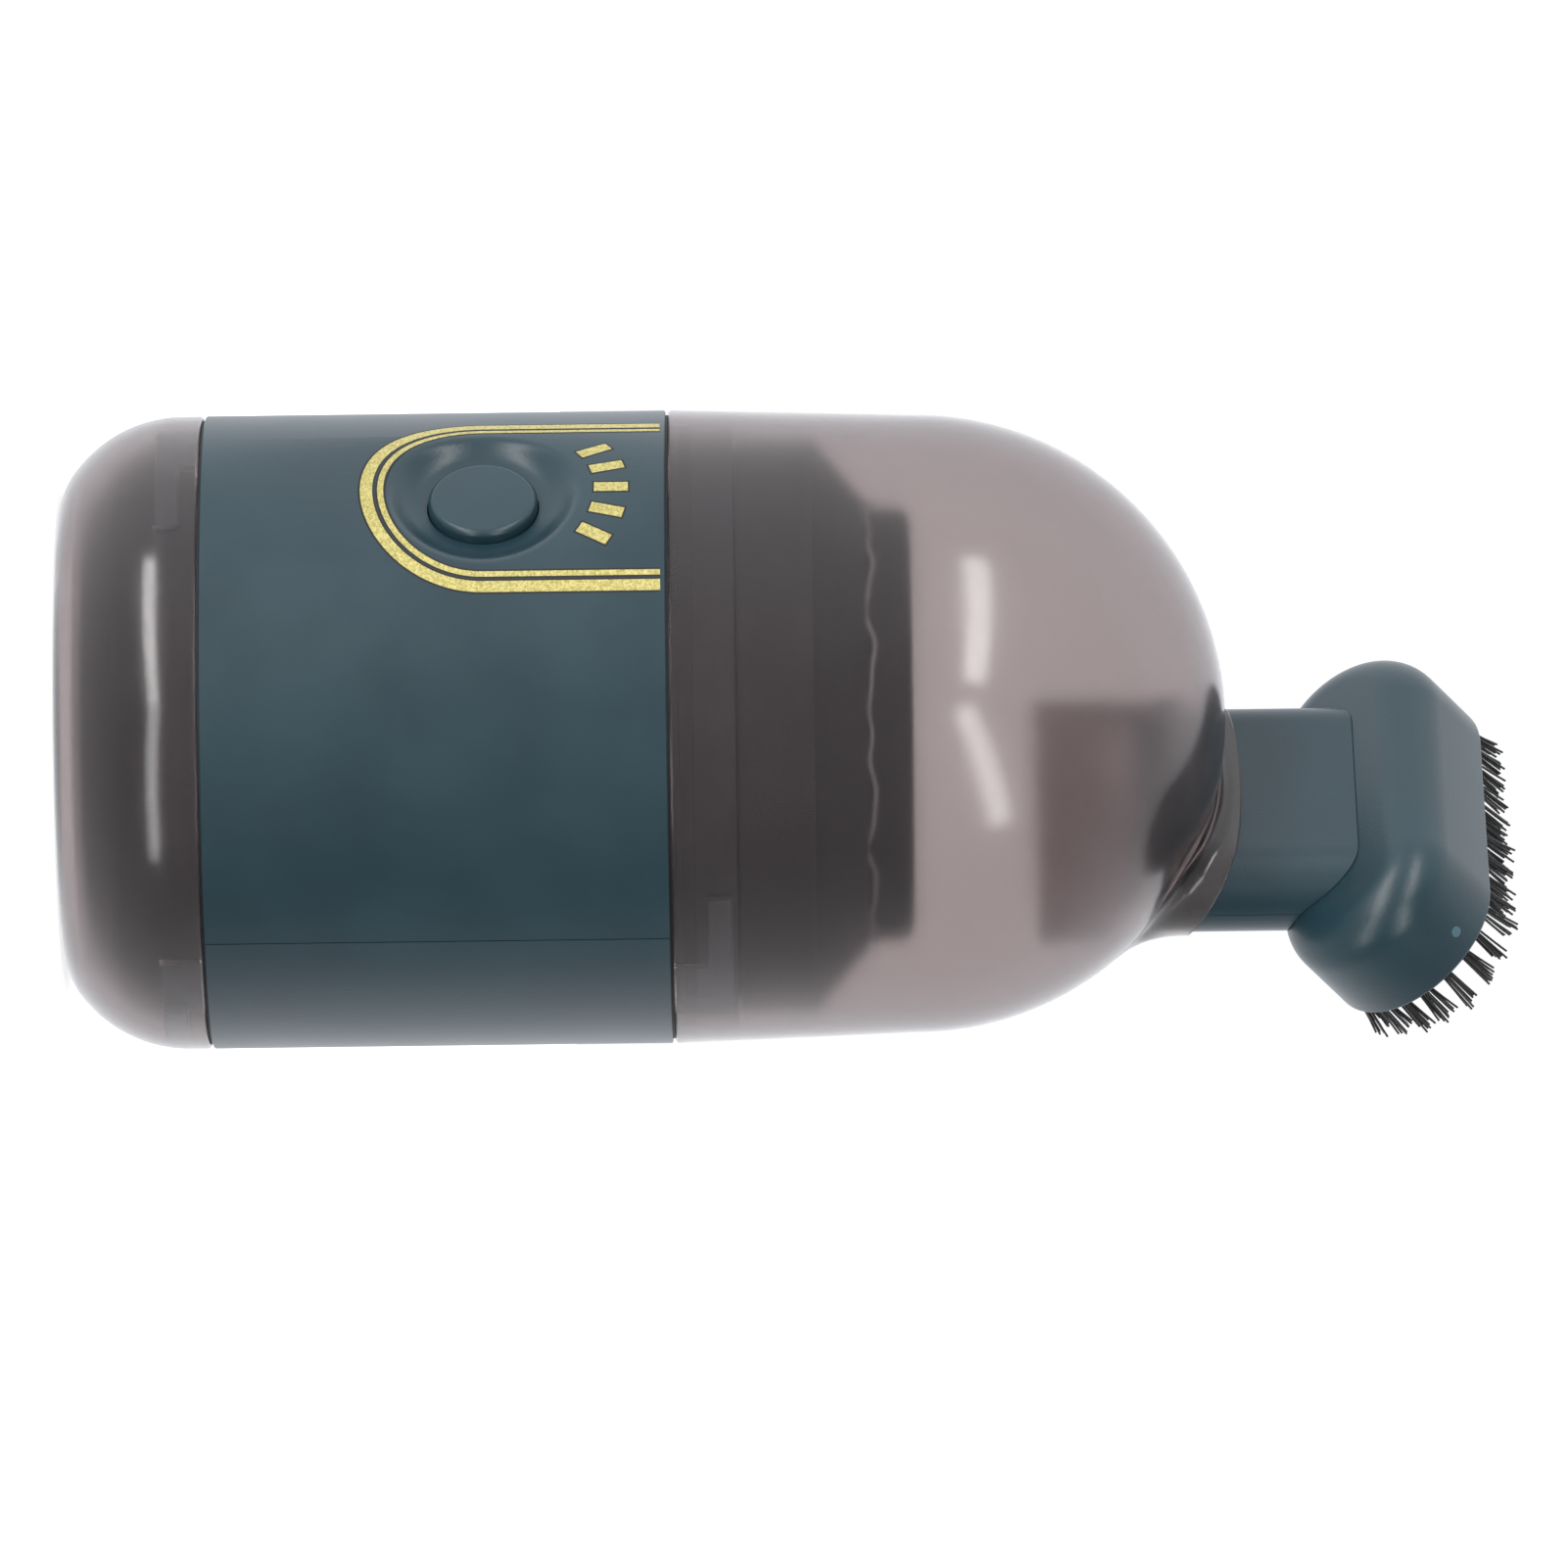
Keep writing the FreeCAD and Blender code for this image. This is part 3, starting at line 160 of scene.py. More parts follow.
def surface(name, dark, light, roughness, grain_mm, depth, metallic=0.0, coat=0.0):
    """A surface of two close tones with a grain of this size and strength."""
    made = new_material(name)
    place = add(made, "ShaderNodeTexCoord").outputs["Object"]
    cloud = add(made, "ShaderNodeTexNoise", [(place, "Vector")], Scale=per_metre(CLOUD_SIZE), Detail=3.0)
    grain = add(made, "ShaderNodeTexNoise", [(place, "Vector")], Scale=per_metre(grain_mm), Detail=2.0)
    tone = add(made, "ShaderNodeValToRGB", [(cloud.outputs["Fac"], "Fac")])
    tone.color_ramp.elements[0].position = 0.35
    tone.color_ramp.elements[0].color = linear(dark)
    tone.color_ramp.elements[1].position = 0.65
    tone.color_ramp.elements[1].color = linear(light)
    bump = add(made, "ShaderNodeBump", [(grain.outputs["Fac"], "Height")],
               Strength=depth, Distance=GRAIN_HEIGHT * MM)
    rough = add(made, "ShaderNodeMapRange", [(cloud.outputs["Fac"], "Value")],
                To_Min=roughness - GLOSS_DRIFT, To_Max=roughness + GLOSS_DRIFT)
    shader = add(made, "ShaderNodeBsdfPrincipled", [
        (tone.outputs["Color"], "Base Color"), (bump.outputs["Normal"], "Normal"),
        (rough.outputs["Result"], "Roughness")], Metallic=metallic, Coat_Weight=coat)
    add(made, "ShaderNodeOutputMaterial", [(shader.outputs[0], "Surface")])
    return made


print("tone drifts over", CLOUD_SIZE, "mm")

# %% [markdown]
# The cap and the cup are smoke-grey polycarbonate with a lightly frosted inside. A real tint sits in
# the wall, so that the part darkens where the line of sight runs along the wall. Here it is absorption
# inside the closed mesh too, and the roughness blurs what stands behind. The real frosting is a few
# hundredths of a millimetre, and it is drawn at half a millimetre so that it shows.

# %% Smoke polycarbonate
HAZE_SIZE = 9.0
FROST_SIZE = 0.5
FROST_HEIGHT = 0.02
TINT_PER_METRE = 190.0


def smoke_polycarbonate(name):
    made = new_material(name)
    place = add(made, "ShaderNodeTexCoord").outputs["Object"]
    haze = add(made, "ShaderNodeTexNoise", [(place, "Vector")], Scale=per_metre(HAZE_SIZE), Detail=4.0)
    rough = add(made, "ShaderNodeMapRange", [(haze.outputs["Fac"], "Value")], To_Min=0.13, To_Max=0.21)
    frost = add(made, "ShaderNodeTexNoise", [(place, "Vector")], Scale=per_metre(FROST_SIZE), Detail=2.0)
    bump = add(made, "ShaderNodeBump", [(frost.outputs["Fac"], "Height")],
               Strength=0.08, Distance=FROST_HEIGHT * MM)
    shader = add(made, "ShaderNodeBsdfPrincipled", [
        (rough.outputs["Result"], "Roughness"), (bump.outputs["Normal"], "Normal")],
        Base_Color=linear("EDEAEA"), IOR=1.45, Transmission_Weight=0.99)
    tint = add(made, "ShaderNodeVolumeAbsorption",
               Color=(0.17, 0.0, 0.01, 1.0), Density=TINT_PER_METRE)
    add(made, "ShaderNodeOutputMaterial", [(shader.outputs[0], "Surface"), (tint.outputs[0], "Volume")])
    return made


print("half of the red goes in", round(1000 * math.log(2) / (0.83 * TINT_PER_METRE), 1), "mm of wall")

# %% [markdown]
# The stripe is a bronze-gold ink with fine metal flake, so each flake catches the light by itself.
# Voronoi cells give every flake its own tone. Real flake is about a tenth of a millimetre across, and
# it is drawn at a fifth of a millimetre so that it shows.

# %% Gold ink
FLAKE_SIZE = 0.2


def gold_ink(name):
    made = new_material(name)
    place = add(made, "ShaderNodeTexCoord").outputs["Object"]
    flake = add(made, "ShaderNodeTexVoronoi", [(place, "Vector")], Scale=per_metre(FLAKE_SIZE))
    split = add(made, "ShaderNodeSeparateColor", [(flake.outputs["Color"], "Color")])
    tone = add(made, "ShaderNodeValToRGB", [(split.outputs[0], "Fac")])
    tone.color_ramp.elements[0].color = linear("948949")
    tone.color_ramp.elements[1].color = linear("C2B874")
    shader = add(made, "ShaderNodeBsdfPrincipled", [(tone.outputs["Color"], "Base Color")],
                 Metallic=0.35, Roughness=0.45)
    add(made, "ShaderNodeOutputMaterial", [(shader.outputs[0], "Surface")])
    return made


print("flake", FLAKE_SIZE, "mm across")

# %% [markdown]
# Each material is named for what the real one is and how its surface was made. The comment on it says
# what that gives the eye. Most belong to a slot of the part, and the last five are for the print and
# for single pieces.

# %% Materials
MATERIALS = {
    # Clear, smoky and slightly blurred, with long soft glints
    "smoke_clear": smoke_polycarbonate("smoke_polycarbonate"),
    # ABS from a spark-eroded tool: satin, with wide and dim glints
    "teal_shell": surface("teal_satin_abs", "162C34", "193139", 0.34, 0.35, 0.3),
    # Dark ABS from a plainer tool: duller, and nearly black behind the smoke
    "dark_plastic": surface("black_moulded_abs", "16191E", "1C1F25", 0.45, 0.4, 0.3),
    # Nylon has a waxy sheen rather than a gloss
    "grey_plastic": surface("grey_nylon", "8C8F91", "9A9C9E", 0.4, 0.4, 0.2),
    "white_plastic": surface("ivory_nylon", "D6D2C6", "E2DFD6", 0.4, 0.4, 0.2),
    # Zinc plate is bright but cloudy
    "motor_steel": surface("zinc_plated_steel", "9A9A9C", "ADADB0", 0.32, 0.3, 0.15, metallic=1.0),
    # Open foam takes light into its cells and gives no glint
    "soft_foam": surface("charcoal_open_foam", "0F1012", "1A1B1E", 0.9, 0.6, 1.0),
    # Woven wire glitters, because its strands face all ways
    "gauze_mesh": surface("woven_steel_wire", "7A7A7C", "98989A", 0.4, 0.5, 0.9, metallic=1.0),
    # Shrunk film is glossy over faint ripples
    "cell_wrap": surface("blue_shrink_wrap", "2F6390", "376F9E", 0.3, 1.2, 0.15, coat=0.4),
    # Solder mask is a glossy lacquer over the weave of the board
    "circuit_board": surface("green_solder_mask", "13492B", "1B5A35", 0.35, 0.8, 0.2, coat=0.3),
    # Silicone is matt and soft black. The same material is laid as painted shade in the seams and in the
    # collar's joint
    "seal_rubber": surface("black_rubber_and_painted_shade", "101011", "171718", 0.6, 0.5, 0.3),
    # Drawn nylon is smooth, so each filament has one thin glint
    "bristle_nylon": surface("black_drawn_nylon", "101011", "1A1A1B", 0.4, 0.3, 0.1),
}
GOLD = gold_ink("gold_flake_ink")
# The dark ink under the gold dries matt and reads as a fine black edge
OUTLINE = surface("dark_print_line", "040505", "070909", 0.6, 0.3, 0.1)
# Where the moulding's gate was cut off, the plastic is polished and paler
SCAR = surface("teal_gate_scar", "3A565F", "45616A", 0.25, 0.3, 0.2)
# Cotton thread is pale and quite matt
HEM = surface("pale_cotton_hem", "8D8E90", "A6A7A9", 0.8, 0.4, 0.6)
# The filter's shell is the deepest black in the cup
FILTER_SHELL = surface("black_filter_shell", "08090B", "0D0E11", 0.6, 0.5, 0.5)
print(len(bpy.data.materials), "materials")

# %% [markdown]
# The working pieces inside are carried over from the CAD model as they are, and each is painted with
# the material of its slot, save the filter's frame, which takes the black filter shell. The pieces that
# the eye sees first are modelled again below, with finer edges.

# %% Paint the carried-over nodes
slot_of = {part["node"]: part["material_slot"] for part in frame["record"]["subparts"]}
for name, item in frame["nodes"].items():
    item.data.materials.clear()
    item.data.materials.append(FILTER_SHELL if name == "filter_frame" else MATERIALS[slot_of[name]])
print(len(frame["nodes"]), "nodes painted")

# %% [markdown]
# An operator works on all that is selected, and loading the frame leaves its nodes selected. So each
# step first chooses its own object. A mesh that is typed in or spun can hold double points and faces
# that look inwards, so its doubles are merged and its normals recalculated before it is used.

# %% Choosing and cleaning
def deselect():
    bpy.ops.object.select_all(action="DESELECT")


def choose(item):
    """Make this the only selected object, and the active one."""
    deselect()
    item.select_set(True)
    bpy.context.view_layer.objects.active = item


def piece_from(name, points, edges=(), faces=()):
    """A new object from points in millimetres."""
    mesh = bpy.data.meshes.new(name)
    mesh.from_pydata([Vector(p) * MM for p in points], list(edges), list(faces))
    made = bpy.data.objects.new(name, mesh)
    bpy.context.scene.collection.objects.link(made)
    choose(made)
    return made


def tidy_mesh(item, gap_mm=0.001):
    """Merge doubles and point every face outwards."""
    choose(item)
    bpy.ops.object.mode_set(mode="EDIT")
    bpy.ops.mesh.select_all(action="SELECT")
    bpy.ops.mesh.remove_doubles(threshold=gap_mm * MM)
    bpy.ops.mesh.normals_make_consistent(inside=False)
    bpy.ops.object.mode_set(mode="OBJECT")
    return item


deselect()
print(len(bpy.context.selected_objects), "objects selected")

# %% [markdown]
# Turned pieces start as a flat outline that the Spin operator carries round an axis, as a lathe would
# cut them. An outline is a list of (radius, height) points. Half shells and slots are spun through part
# of a turn.

# %% Turned pieces
STEPS = 144


def spin(item, steps, angle, centre, spin_axis):
    bpy.ops.object.mode_set(mode="EDIT")
    bpy.ops.mesh.select_all(action="SELECT")
    bpy.ops.mesh.spin(steps=steps, angle=angle, center=Vector(centre) * MM, axis=spin_axis)
    bpy.ops.object.mode_set(mode="OBJECT")
    return tidy_mesh(item)


def lathe(name, profile, about="Z", centre=(0.0, 0.0, 0.0), steps=STEPS):
    """Spin a closed profile of (radius, height) all the way round the Z or the -Y axis."""
    if about == "Z":
        points = [(r, 0.0, z) for r, z in profile]
        spin_axis = (0.0, 0.0, 1.0)
    else:
        points = [(centre[0] + r, centre[1] - z, centre[2]) for r, z in profile]
        spin_axis = (0.0, 1.0, 0.0)
    edges = [(i, (i + 1) % len(points)) for i in range(len(points))]
    return spin(piece_from(name, points, edges), steps, 2 * math.pi, centre, spin_axis)


def part_lathe(name, profile, start, end, steps):
    """Spin a filled profile through part of a turn about Z, from one bearing to another in degrees."""
    a = math.radians(start)
    points = [(r * math.cos(a), r * math.sin(a), z) for r, z in profile]
    made = piece_from(name, points, faces=[tuple(range(len(points)))])
    return spin(made, steps, math.radians(start - end), (0.0, 0.0, 0.0), (0.0, 0.0, 1.0))


def arc(centre, radius, start, end, count):
    """Points of an arc in the XZ plane, as (radius, height), angles in degrees."""
    angles = [math.radians(start + (end - start) * i / count) for i in range(count + 1)]
    return [(centre[0] + radius * math.cos(a), centre[1] + radius * math.sin(a)) for a in angles]


print(STEPS, "steps to a turn")

# %% [markdown]
# Openings are cut and pieces joined with the Boolean modifier, applied at once, so that each piece ends
# as one closed mesh. A finished piece is shaded smooth up to its real edges, painted, and set to ride
# on its body.

# %% Cutting, joining and handing over
SMOOTH_ANGLE = 32.0


def boolean(item, tools, operation="DIFFERENCE"):
    """Cut or join pieces into item, then remove them."""
    for tool in tools:
        choose(item)
        step = item.modifiers.new("cut", "BOOLEAN")
        step.operation = operation
        step.solver = "EXACT"
        step.object = tool
        bpy.ops.object.modifier_apply(modifier=step.name)
        bpy.data.objects.remove(tool, do_unlink=True)
    return item


def hand_over(item, name, body, slot_name, nodes=(), material=None, angle=SMOOTH_ANGLE):
    """Shade, paint and ride a finished piece."""
    choose(item)
    item.name = name
    bpy.ops.object.shade_smooth_by_angle(angle=math.radians(angle))
    item.data.materials.clear()
    item.data.materials.append(material or MATERIALS[slot_name])
    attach(item, body)
    if nodes:
        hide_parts(*nodes)
    print(name, len(item.data.polygons), "faces")
    return item


print("edges sharper than", SMOOTH_ANGLE, "degrees stay crisp")

# %% [markdown]
# The cap and the cup are held by bayonet lugs, which enter an L-shaped slot at the rim and lock with a
# short turn. On the real part a collapsing core moulds the slot. Here it is two sunk sectors, an entry
# that is open at the rim and a locking part beside it, each a small profile spun through part of a
# turn.

# %% Bayonet slots
SLOT_HALF = 7.7
LOCK_TURN = 16.4
SLOT_DEPTH = 1.1


def bayonet_slot(name, rim, low, high, side, bearing):
    """The cutters round a lug at this bearing. A side of 1 puts the entry at a larger bearing."""
    reach = INSIDE + SLOT_DEPTH
    near = INSIDE - 1.5
    lock = sorted((bearing - side * SLOT_HALF, bearing + side * (SLOT_HALF + LOCK_TURN)))
    entry = sorted((bearing + side * (LOCK_TURN - SLOT_HALF),
                    bearing + side * (LOCK_TURN + SLOT_HALF)))
    lock_box = [(near, low), (reach, low), (reach, high), (near, high)]
    mouth = rim + 2.0 if rim > high else rim - 2.0
    ends = sorted((mouth, low if rim > high else high))
    entry_box = [(near, ends[0]), (reach, ends[0]), (reach, ends[1]), (near, ends[1])]
    return [part_lathe(name + "_lock", lock_box, lock[0], lock[1], 16),
            part_lathe(name + "_entry", entry_box, entry[0], entry[1], 12)]


print("a lug locks after", LOCK_TURN, "degrees")

# %% [markdown]
# The rear cap is a clear moulded cup that the machine stands on. One big round would leave the shoulder
# too sharp or the foot too small, so its corner is two tangent rounds, which give the soft squashed
# shoulder of the photograph. The inside is the same outline moved in by the wall.

# %% Rear cap
FOOT_RADIUS = 24.5
LOW_ROUND = 9.0
HIGH_ROUND = 15.25
HIGH_ROUND_Z = 14.0
RIM_BREAK = 0.25
CAP_SLOT = (11.7, 14.5)


def cap_profile(inset):
    """The cap's outline from the axis to the rim, moved in by inset."""
    lean = math.degrees(math.asin((HIGH_ROUND_Z - LOW_ROUND) / (HIGH_ROUND - LOW_ROUND)))
    low = arc((FOOT_RADIUS, LOW_ROUND), LOW_ROUND - inset, -90.0, -lean, 16)
    high = arc((OUTSIDE - HIGH_ROUND, HIGH_ROUND_Z), HIGH_ROUND - inset, -lean, 0.0, 22)
    return [(0.0, inset), *low, *high[1:]]


cap_rim = [(OUTSIDE, CAP_TOP - RIM_BREAK), (OUTSIDE - RIM_BREAK, CAP_TOP), (INSIDE, CAP_TOP)]
cap = lathe("rear_cap_shell", cap_profile(0.0) + cap_rim + cap_profile(WALL)[::-1])
slots = []
for bearing in (-90.0, 30.0, 150.0):
    slots += bayonet_slot("cap_slot", CAP_TOP, *CAP_SLOT, -1, bearing)
boolean(cap, slots)
hand_over(cap, "rear_cap_shell", "rear_cap_body", "smoke_clear", ["rear_cap"])

# %% [markdown]
# The tube is two half shells, as the real one is, and they meet in a fine parting line. A half is a
# small profile with eased ends, spun through half a turn less the width of the line.

# %% Half of the tube
PARTING = 0.06
EASE = 0.12


def half_tube(name, start, end):
    margin = math.degrees(PARTING / RADIUS)
    profile = [(OUTSIDE - EASE, TUBE_LOW), (OUTSIDE, TUBE_LOW + EASE), (OUTSIDE, TUBE_HIGH - EASE),
               (OUTSIDE - EASE, TUBE_HIGH), (INSIDE, TUBE_HIGH), (INSIDE, TUBE_LOW)]
    return part_lathe(name, profile, start + margin, end - margin, STEPS // 2)


print("tube", round(TUBE_HIGH - TUBE_LOW, 2), "mm long")

# %% [markdown]
# The front half has a round dish for the button, deeper than the wall is thick, so the real shell
# bulges inwards behind it. A boss is joined on first, and the dish and the button's hole are cut
# through both. The dish's rim follows the tube, so boss and cutter are turned flat and then bent back
# by the tube's own sag.

# %% Front shell
BUTTON_Z = 48.5
BUTTON_RADIUS = 6.15
HOLE_GAP = 0.15
DISH_RADIUS = 11.0
DISH_FLOOR_RADIUS = 7.6
DISH_DEPTH = 3.0
BOSS_RADIUS = 13.0
BOSS_FOOT = 31.0
BOSS_TOP = 35.0
DISH_STEPS = 96
FACING_BUTTON = (0.0, 0.0, BUTTON_Z)


def sag(x):
    """How far the tube's skin falls back at this distance from its middle line."""
    return RADIUS - math.sqrt(RADIUS ** 2 - x ** 2)


def dish_boss():
    top = [(BOSS_RADIUS * (1 - i / 8), BOSS_TOP) for i in range(9)]
    profile = [(0.0, BOSS_FOOT), (BOSS_RADIUS, BOSS_FOOT), *top]
    made = lathe("dish_boss", profile, "Y", FACING_BUTTON, DISH_STEPS)
    for vertex in made.data.vertices:
        if vertex.co.y < -(BOSS_TOP - 0.1) * MM:
            vertex.co.y += sag(vertex.co.x / MM) * MM
    return made


def dish_cutter():
    """An S-shaped bowl, as shares of the dish's radius and depth, whose rim follows the tube."""
    fall = [(0.0, 1.0), (0.5, 1.0), (0.62, 0.985), (0.7, 0.93), (0.78, 0.78), (0.86, 0.5), (0.92, 0.27),
            (0.97, 0.1), (1.03, 0.0), (1.12, -0.12), (1.3, -0.5)]
    profile = [(DISH_RADIUS * r, RADIUS - DISH_DEPTH * depth) for r, depth in fall]
    profile += [(DISH_RADIUS * 1.3, RADIUS + 4.0), (0.0, RADIUS + 4.0)]
    made = lathe("dish_cutter", profile, "Y", FACING_BUTTON, DISH_STEPS)
    for vertex in made.data.vertices:
        x = vertex.co.x / MM
        reach = math.hypot(x, vertex.co.z / MM - BUTTON_Z)
        share = min(max((reach - DISH_FLOOR_RADIUS) / (DISH_RADIUS - DISH_FLOOR_RADIUS), 0.0), 1.0)
        vertex.co.y += sag(x) * share * MM
    return made


front = half_tube("front_half", 180.0, 360.0)
boolean(front, [dish_boss()], "UNION")
hole_radius = BUTTON_RADIUS + HOLE_GAP
hole = [(0.0, 29.0), (hole_radius, 29.0), (hole_radius, 38.0), (0.0, 38.0)]
boolean(front, [dish_cutter(), lathe("button_hole", hole, "Y", FACING_BUTTON, DISH_STEPS)])
hand_over(front, "front_shell", "housing", "teal_shell", ["housing_front"])

# %% [markdown]
# The back half carries the exhaust slots, three on each side of the middle, and the charging port
# between them. They are plain boxes that go through the wall.

# %% Back shell
VENT_FIRST = 9.5
VENT_PITCH = 3.5
VENT_HALF = 0.8
VENT_LOW = 38.0
VENT_HIGH = 60.0
PORT_LOW = (-4.8, 30.0, 28.5)
PORT_HIGH = (4.8, 40.0, 32.3)


def block(name, low, high):
    """A box between two corners, in millimetres."""
    deselect()
    bpy.ops.mesh.primitive_cube_add(size=1.0, location=(Vector(low) + Vector(high)) * 0.5 * MM)
    made = bpy.context.active_object
    made.name = name
    made.scale = (Vector(high) - Vector(low)) * MM
    bpy.ops.object.transform_apply(location=True, rotation=True, scale=True)
    return made


back = half_tube("back_half", 0.0, 180.0)
openings = []
for side in (-1, 1):
    for i in range(3):
        x = side * (VENT_FIRST + VENT_PITCH * i)
        low, high = (x - VENT_HALF, 10.0, VENT_LOW), (x + VENT_HALF, 40.0, VENT_HIGH)
        openings.append(block("vent", low, high))
openings.append(block("port", PORT_LOW, PORT_HIGH))
boolean(back, openings)
hand_over(back, "back_shell", "housing", "teal_shell", ["housing_back"])

# %% [markdown]
# A dark ring lies in each seam, just under the skin. Its black is painted shade, so that the seam reads
# as a fine black line. Each is a square band turned about the axis.

# %% Seam rings of painted shade
RING_INSIDE = 34.1
RING_OUTSIDE = 35.45
RING_TALL = 0.29
for name, low in (("seam_ring_low", TUBE_LOW - RING_TALL), ("seam_ring_high", TUBE_HIGH)):
    high = low + RING_TALL
    band = [(RING_INSIDE, low), (RING_OUTSIDE, low), (RING_OUTSIDE, high), (RING_INSIDE, high)]
    hand_over(lathe(name, band), name, "housing", "seal_rubber")

# %% [markdown]
# The button is a slightly crowned disc with a rounded rim and a flange that keeps it behind the shell.
# It is turned about the axis that it is pressed along, so its outline is all that has to be drawn.

# %% Button
FACE = 34.7
CROWN = 0.12
BUTTON_ROUND = 0.8
FLANGE = 1.1
FLANGE_TOP = 30.95
FLANGE_FOOT = 29.95
flat = BUTTON_RADIUS - BUTTON_ROUND
button_profile = [(0.0, FACE), (BUTTON_RADIUS * 0.5, FACE - 0.04), (flat, FACE - CROWN)]
button_profile += arc((flat, FACE - CROWN - BUTTON_ROUND), BUTTON_ROUND, 84.0, 0.0, 8)
button_profile += [(BUTTON_RADIUS, FLANGE_TOP), (BUTTON_RADIUS + FLANGE, FLANGE_TOP),
                   (BUTTON_RADIUS + FLANGE, FLANGE_FOOT), (0.0, FLANGE_FOOT)]
button = lathe("button_disc", button_profile, "Y", FACING_BUTTON, DISH_STEPS)
hand_over(button, "button_cap", "button", "teal_shell", ["power_button"])

# %% [markdown]
# The printed stripe runs up both sides of the button and round under it: a broad gold band and a narrow
# one, each over a slightly wider dark one that edges it. A band is drawn flat, as arc length against
# height, and each point is then wrapped on to the tube. Its foot is sunk in the shell, so that it is a
# closed strip.

# %% Printed stripe
STRIPE_HALF = 15.0
STRIPE_DEEP = 13.95
STRIPE_TOP = 68.35
PRINT_FOOT = -0.3
LINE_LIFT = 0.008
GOLD_LIFT = 0.016


def wrap(s, z, lift):
    """A point of the flat print on the tube's skin."""
    reach = OUTSIDE + lift
    return (reach * math.sin(s / RADIUS), -reach * math.cos(s / RADIUS), z)


def stripe_edge(inset):
    """One edge of a band, down the left leg, round the arc and up the right leg."""
    half = STRIPE_HALF - inset
    heights = [STRIPE_TOP + (BUTTON_Z - STRIPE_TOP) * i / 8 for i in range(8)]
    turns = [math.radians(180 + 180 * i / 64) for i in range(65)]
    bend = [(half * math.cos(a), BUTTON_Z + (STRIPE_DEEP - inset) * math.sin(a)) for a in turns]
    return [(-half, z) for z in heights] + bend + [(half, z) for z in reversed(heights)]


def stripe(name, outer, inner, lift, material):
    """A band of the U between two insets from its outer edge, as a thin closed strip."""
    rows = [stripe_edge(outer), stripe_edge(inner)]
    count = len(rows[0])
    points = [wrap(s, z, level) for level in (lift, PRINT_FOOT) for row in rows for s, z in row]
    faces = []
    for i in range(count - 1):
        a, b, c, d = i, i + 1, count + i + 1, count + i
        faces += [(a, b, c, d), tuple(k + 2 * count for k in (d, c, b, a))]
        faces += [(b, a, a + 2 * count, b + 2 * count), (d, c, c + 2 * count, d + 2 * count)]
    for i in (0, count - 1):
        faces.append((i, count + i, 3 * count + i, 2 * count + i))
    made = tidy_mesh(piece_from(name, points, faces=faces))
    return hand_over(made, name, "housing", "teal_shell", material=material)


stripe("stripe_line_outer", -0.06, 1.8, LINE_LIFT, OUTLINE)
stripe("stripe_gold_outer", 0.18, 1.56, GOLD_LIFT, GOLD)
stripe("stripe_line_inner", 1.88, 3.04, LINE_LIFT, OUTLINE)
stripe("stripe_gold_inner", 2.12, 2.8, GOLD_LIFT, GOLD)

# %% [markdown]
# Above the button a fan of five short gold bars is printed, like the rays of a rising sun. A bar is a
# cube, subdivided fine enough to bend with the tube, and laid on it point by point.

# %% Printed bars
BAR_ARC = 14.4
BAR_TALL = 3.8
BAR_WIDE = 1.5
BAR_EDGE = 0.44


def bar(name, bearing, grow, lift, material):
    """One bar of the fan, grown by this much for the dark edge under it."""
    deselect()
    bpy.ops.mesh.primitive_cube_add(size=1.0)
    made = bpy.context.active_object
    bpy.ops.object.mode_set(mode="EDIT")
    bpy.ops.mesh.subdivide(number_cuts=7)
    bpy.ops.object.mode_set(mode="OBJECT")
    for vertex in made.data.vertices:
        u = vertex.co.x * (BAR_WIDE + grow)
        v = BAR_ARC + vertex.co.z * (BAR_TALL + grow)
        s = v * math.sin(bearing) + u * math.cos(bearing)
        z = BUTTON_Z + v * math.cos(bearing) - u * math.sin(bearing)
        level = lift if vertex.co.y > 0.4 else PRINT_FOOT
        vertex.co = Vector(wrap(s, z, level)) * MM
    tidy_mesh(made)
    return hand_over(made, name, "housing", "teal_shell", material=material)


for i in range(5):
    bearing = math.radians(-30 + 15 * i)
    bar(f"mark_line_{i + 1}", bearing, BAR_EDGE, LINE_LIFT, OUTLINE)
    bar(f"mark_bar_{i + 1}", bearing, 0.0, GOLD_LIFT, GOLD)

# %% [markdown]
# Neck, duct and brush head share one outline, a stadium. A station on it is a point and its outward
# normal, so that an offset or a cross-section can be put at each one. A ring of cross-sections makes a
# closed wall, and a stack of outlines makes a block.

# %% Stadium pieces
def stations(half, count):
    """Points and outward normals round a stadium, evenly spaced."""
    straight = half[0] - half[1]
    whole = 4 * straight + 2 * math.pi * half[1]
    found = []
    for i in range(count):
        travel = whole * i / count
        side = 1 if travel < whole / 2 else -1
        travel = travel % (whole / 2)
        if travel < 2 * straight:
            place = Vector((side * (travel - straight), -side * half[1]))
            found.append((place, Vector((0.0, -side))))
        else:
            a = (travel - 2 * straight) / half[1] - math.pi / 2
            normal = Vector((side * math.cos(a), side * math.sin(a)))
            found.append((Vector((side * straight, 0.0)) + normal * half[1], normal))
    return found


def ring_solid(name, half, section, centre_y, count=STEPS):
    """A closed ring: section gives the (offset, height) points at each station."""
    points = []
    for place, normal in stations(half, count):
        base = place + Vector((0.0, centre_y))
        outline = section(base, normal)
        size = len(outline)
        points += [(base.x + normal.x * o, base.y + normal.y * o, z) for o, z in outline]
    faces = []
    for i in range(count):
        after = (i + 1) % count
        for k in range(size):
            nxt = (k + 1) % size
            faces.append((i * size + k, after * size + k,
                          after * size + nxt, i * size + nxt))
    return tidy_mesh(piece_from(name, points, faces=faces), 0.0001)


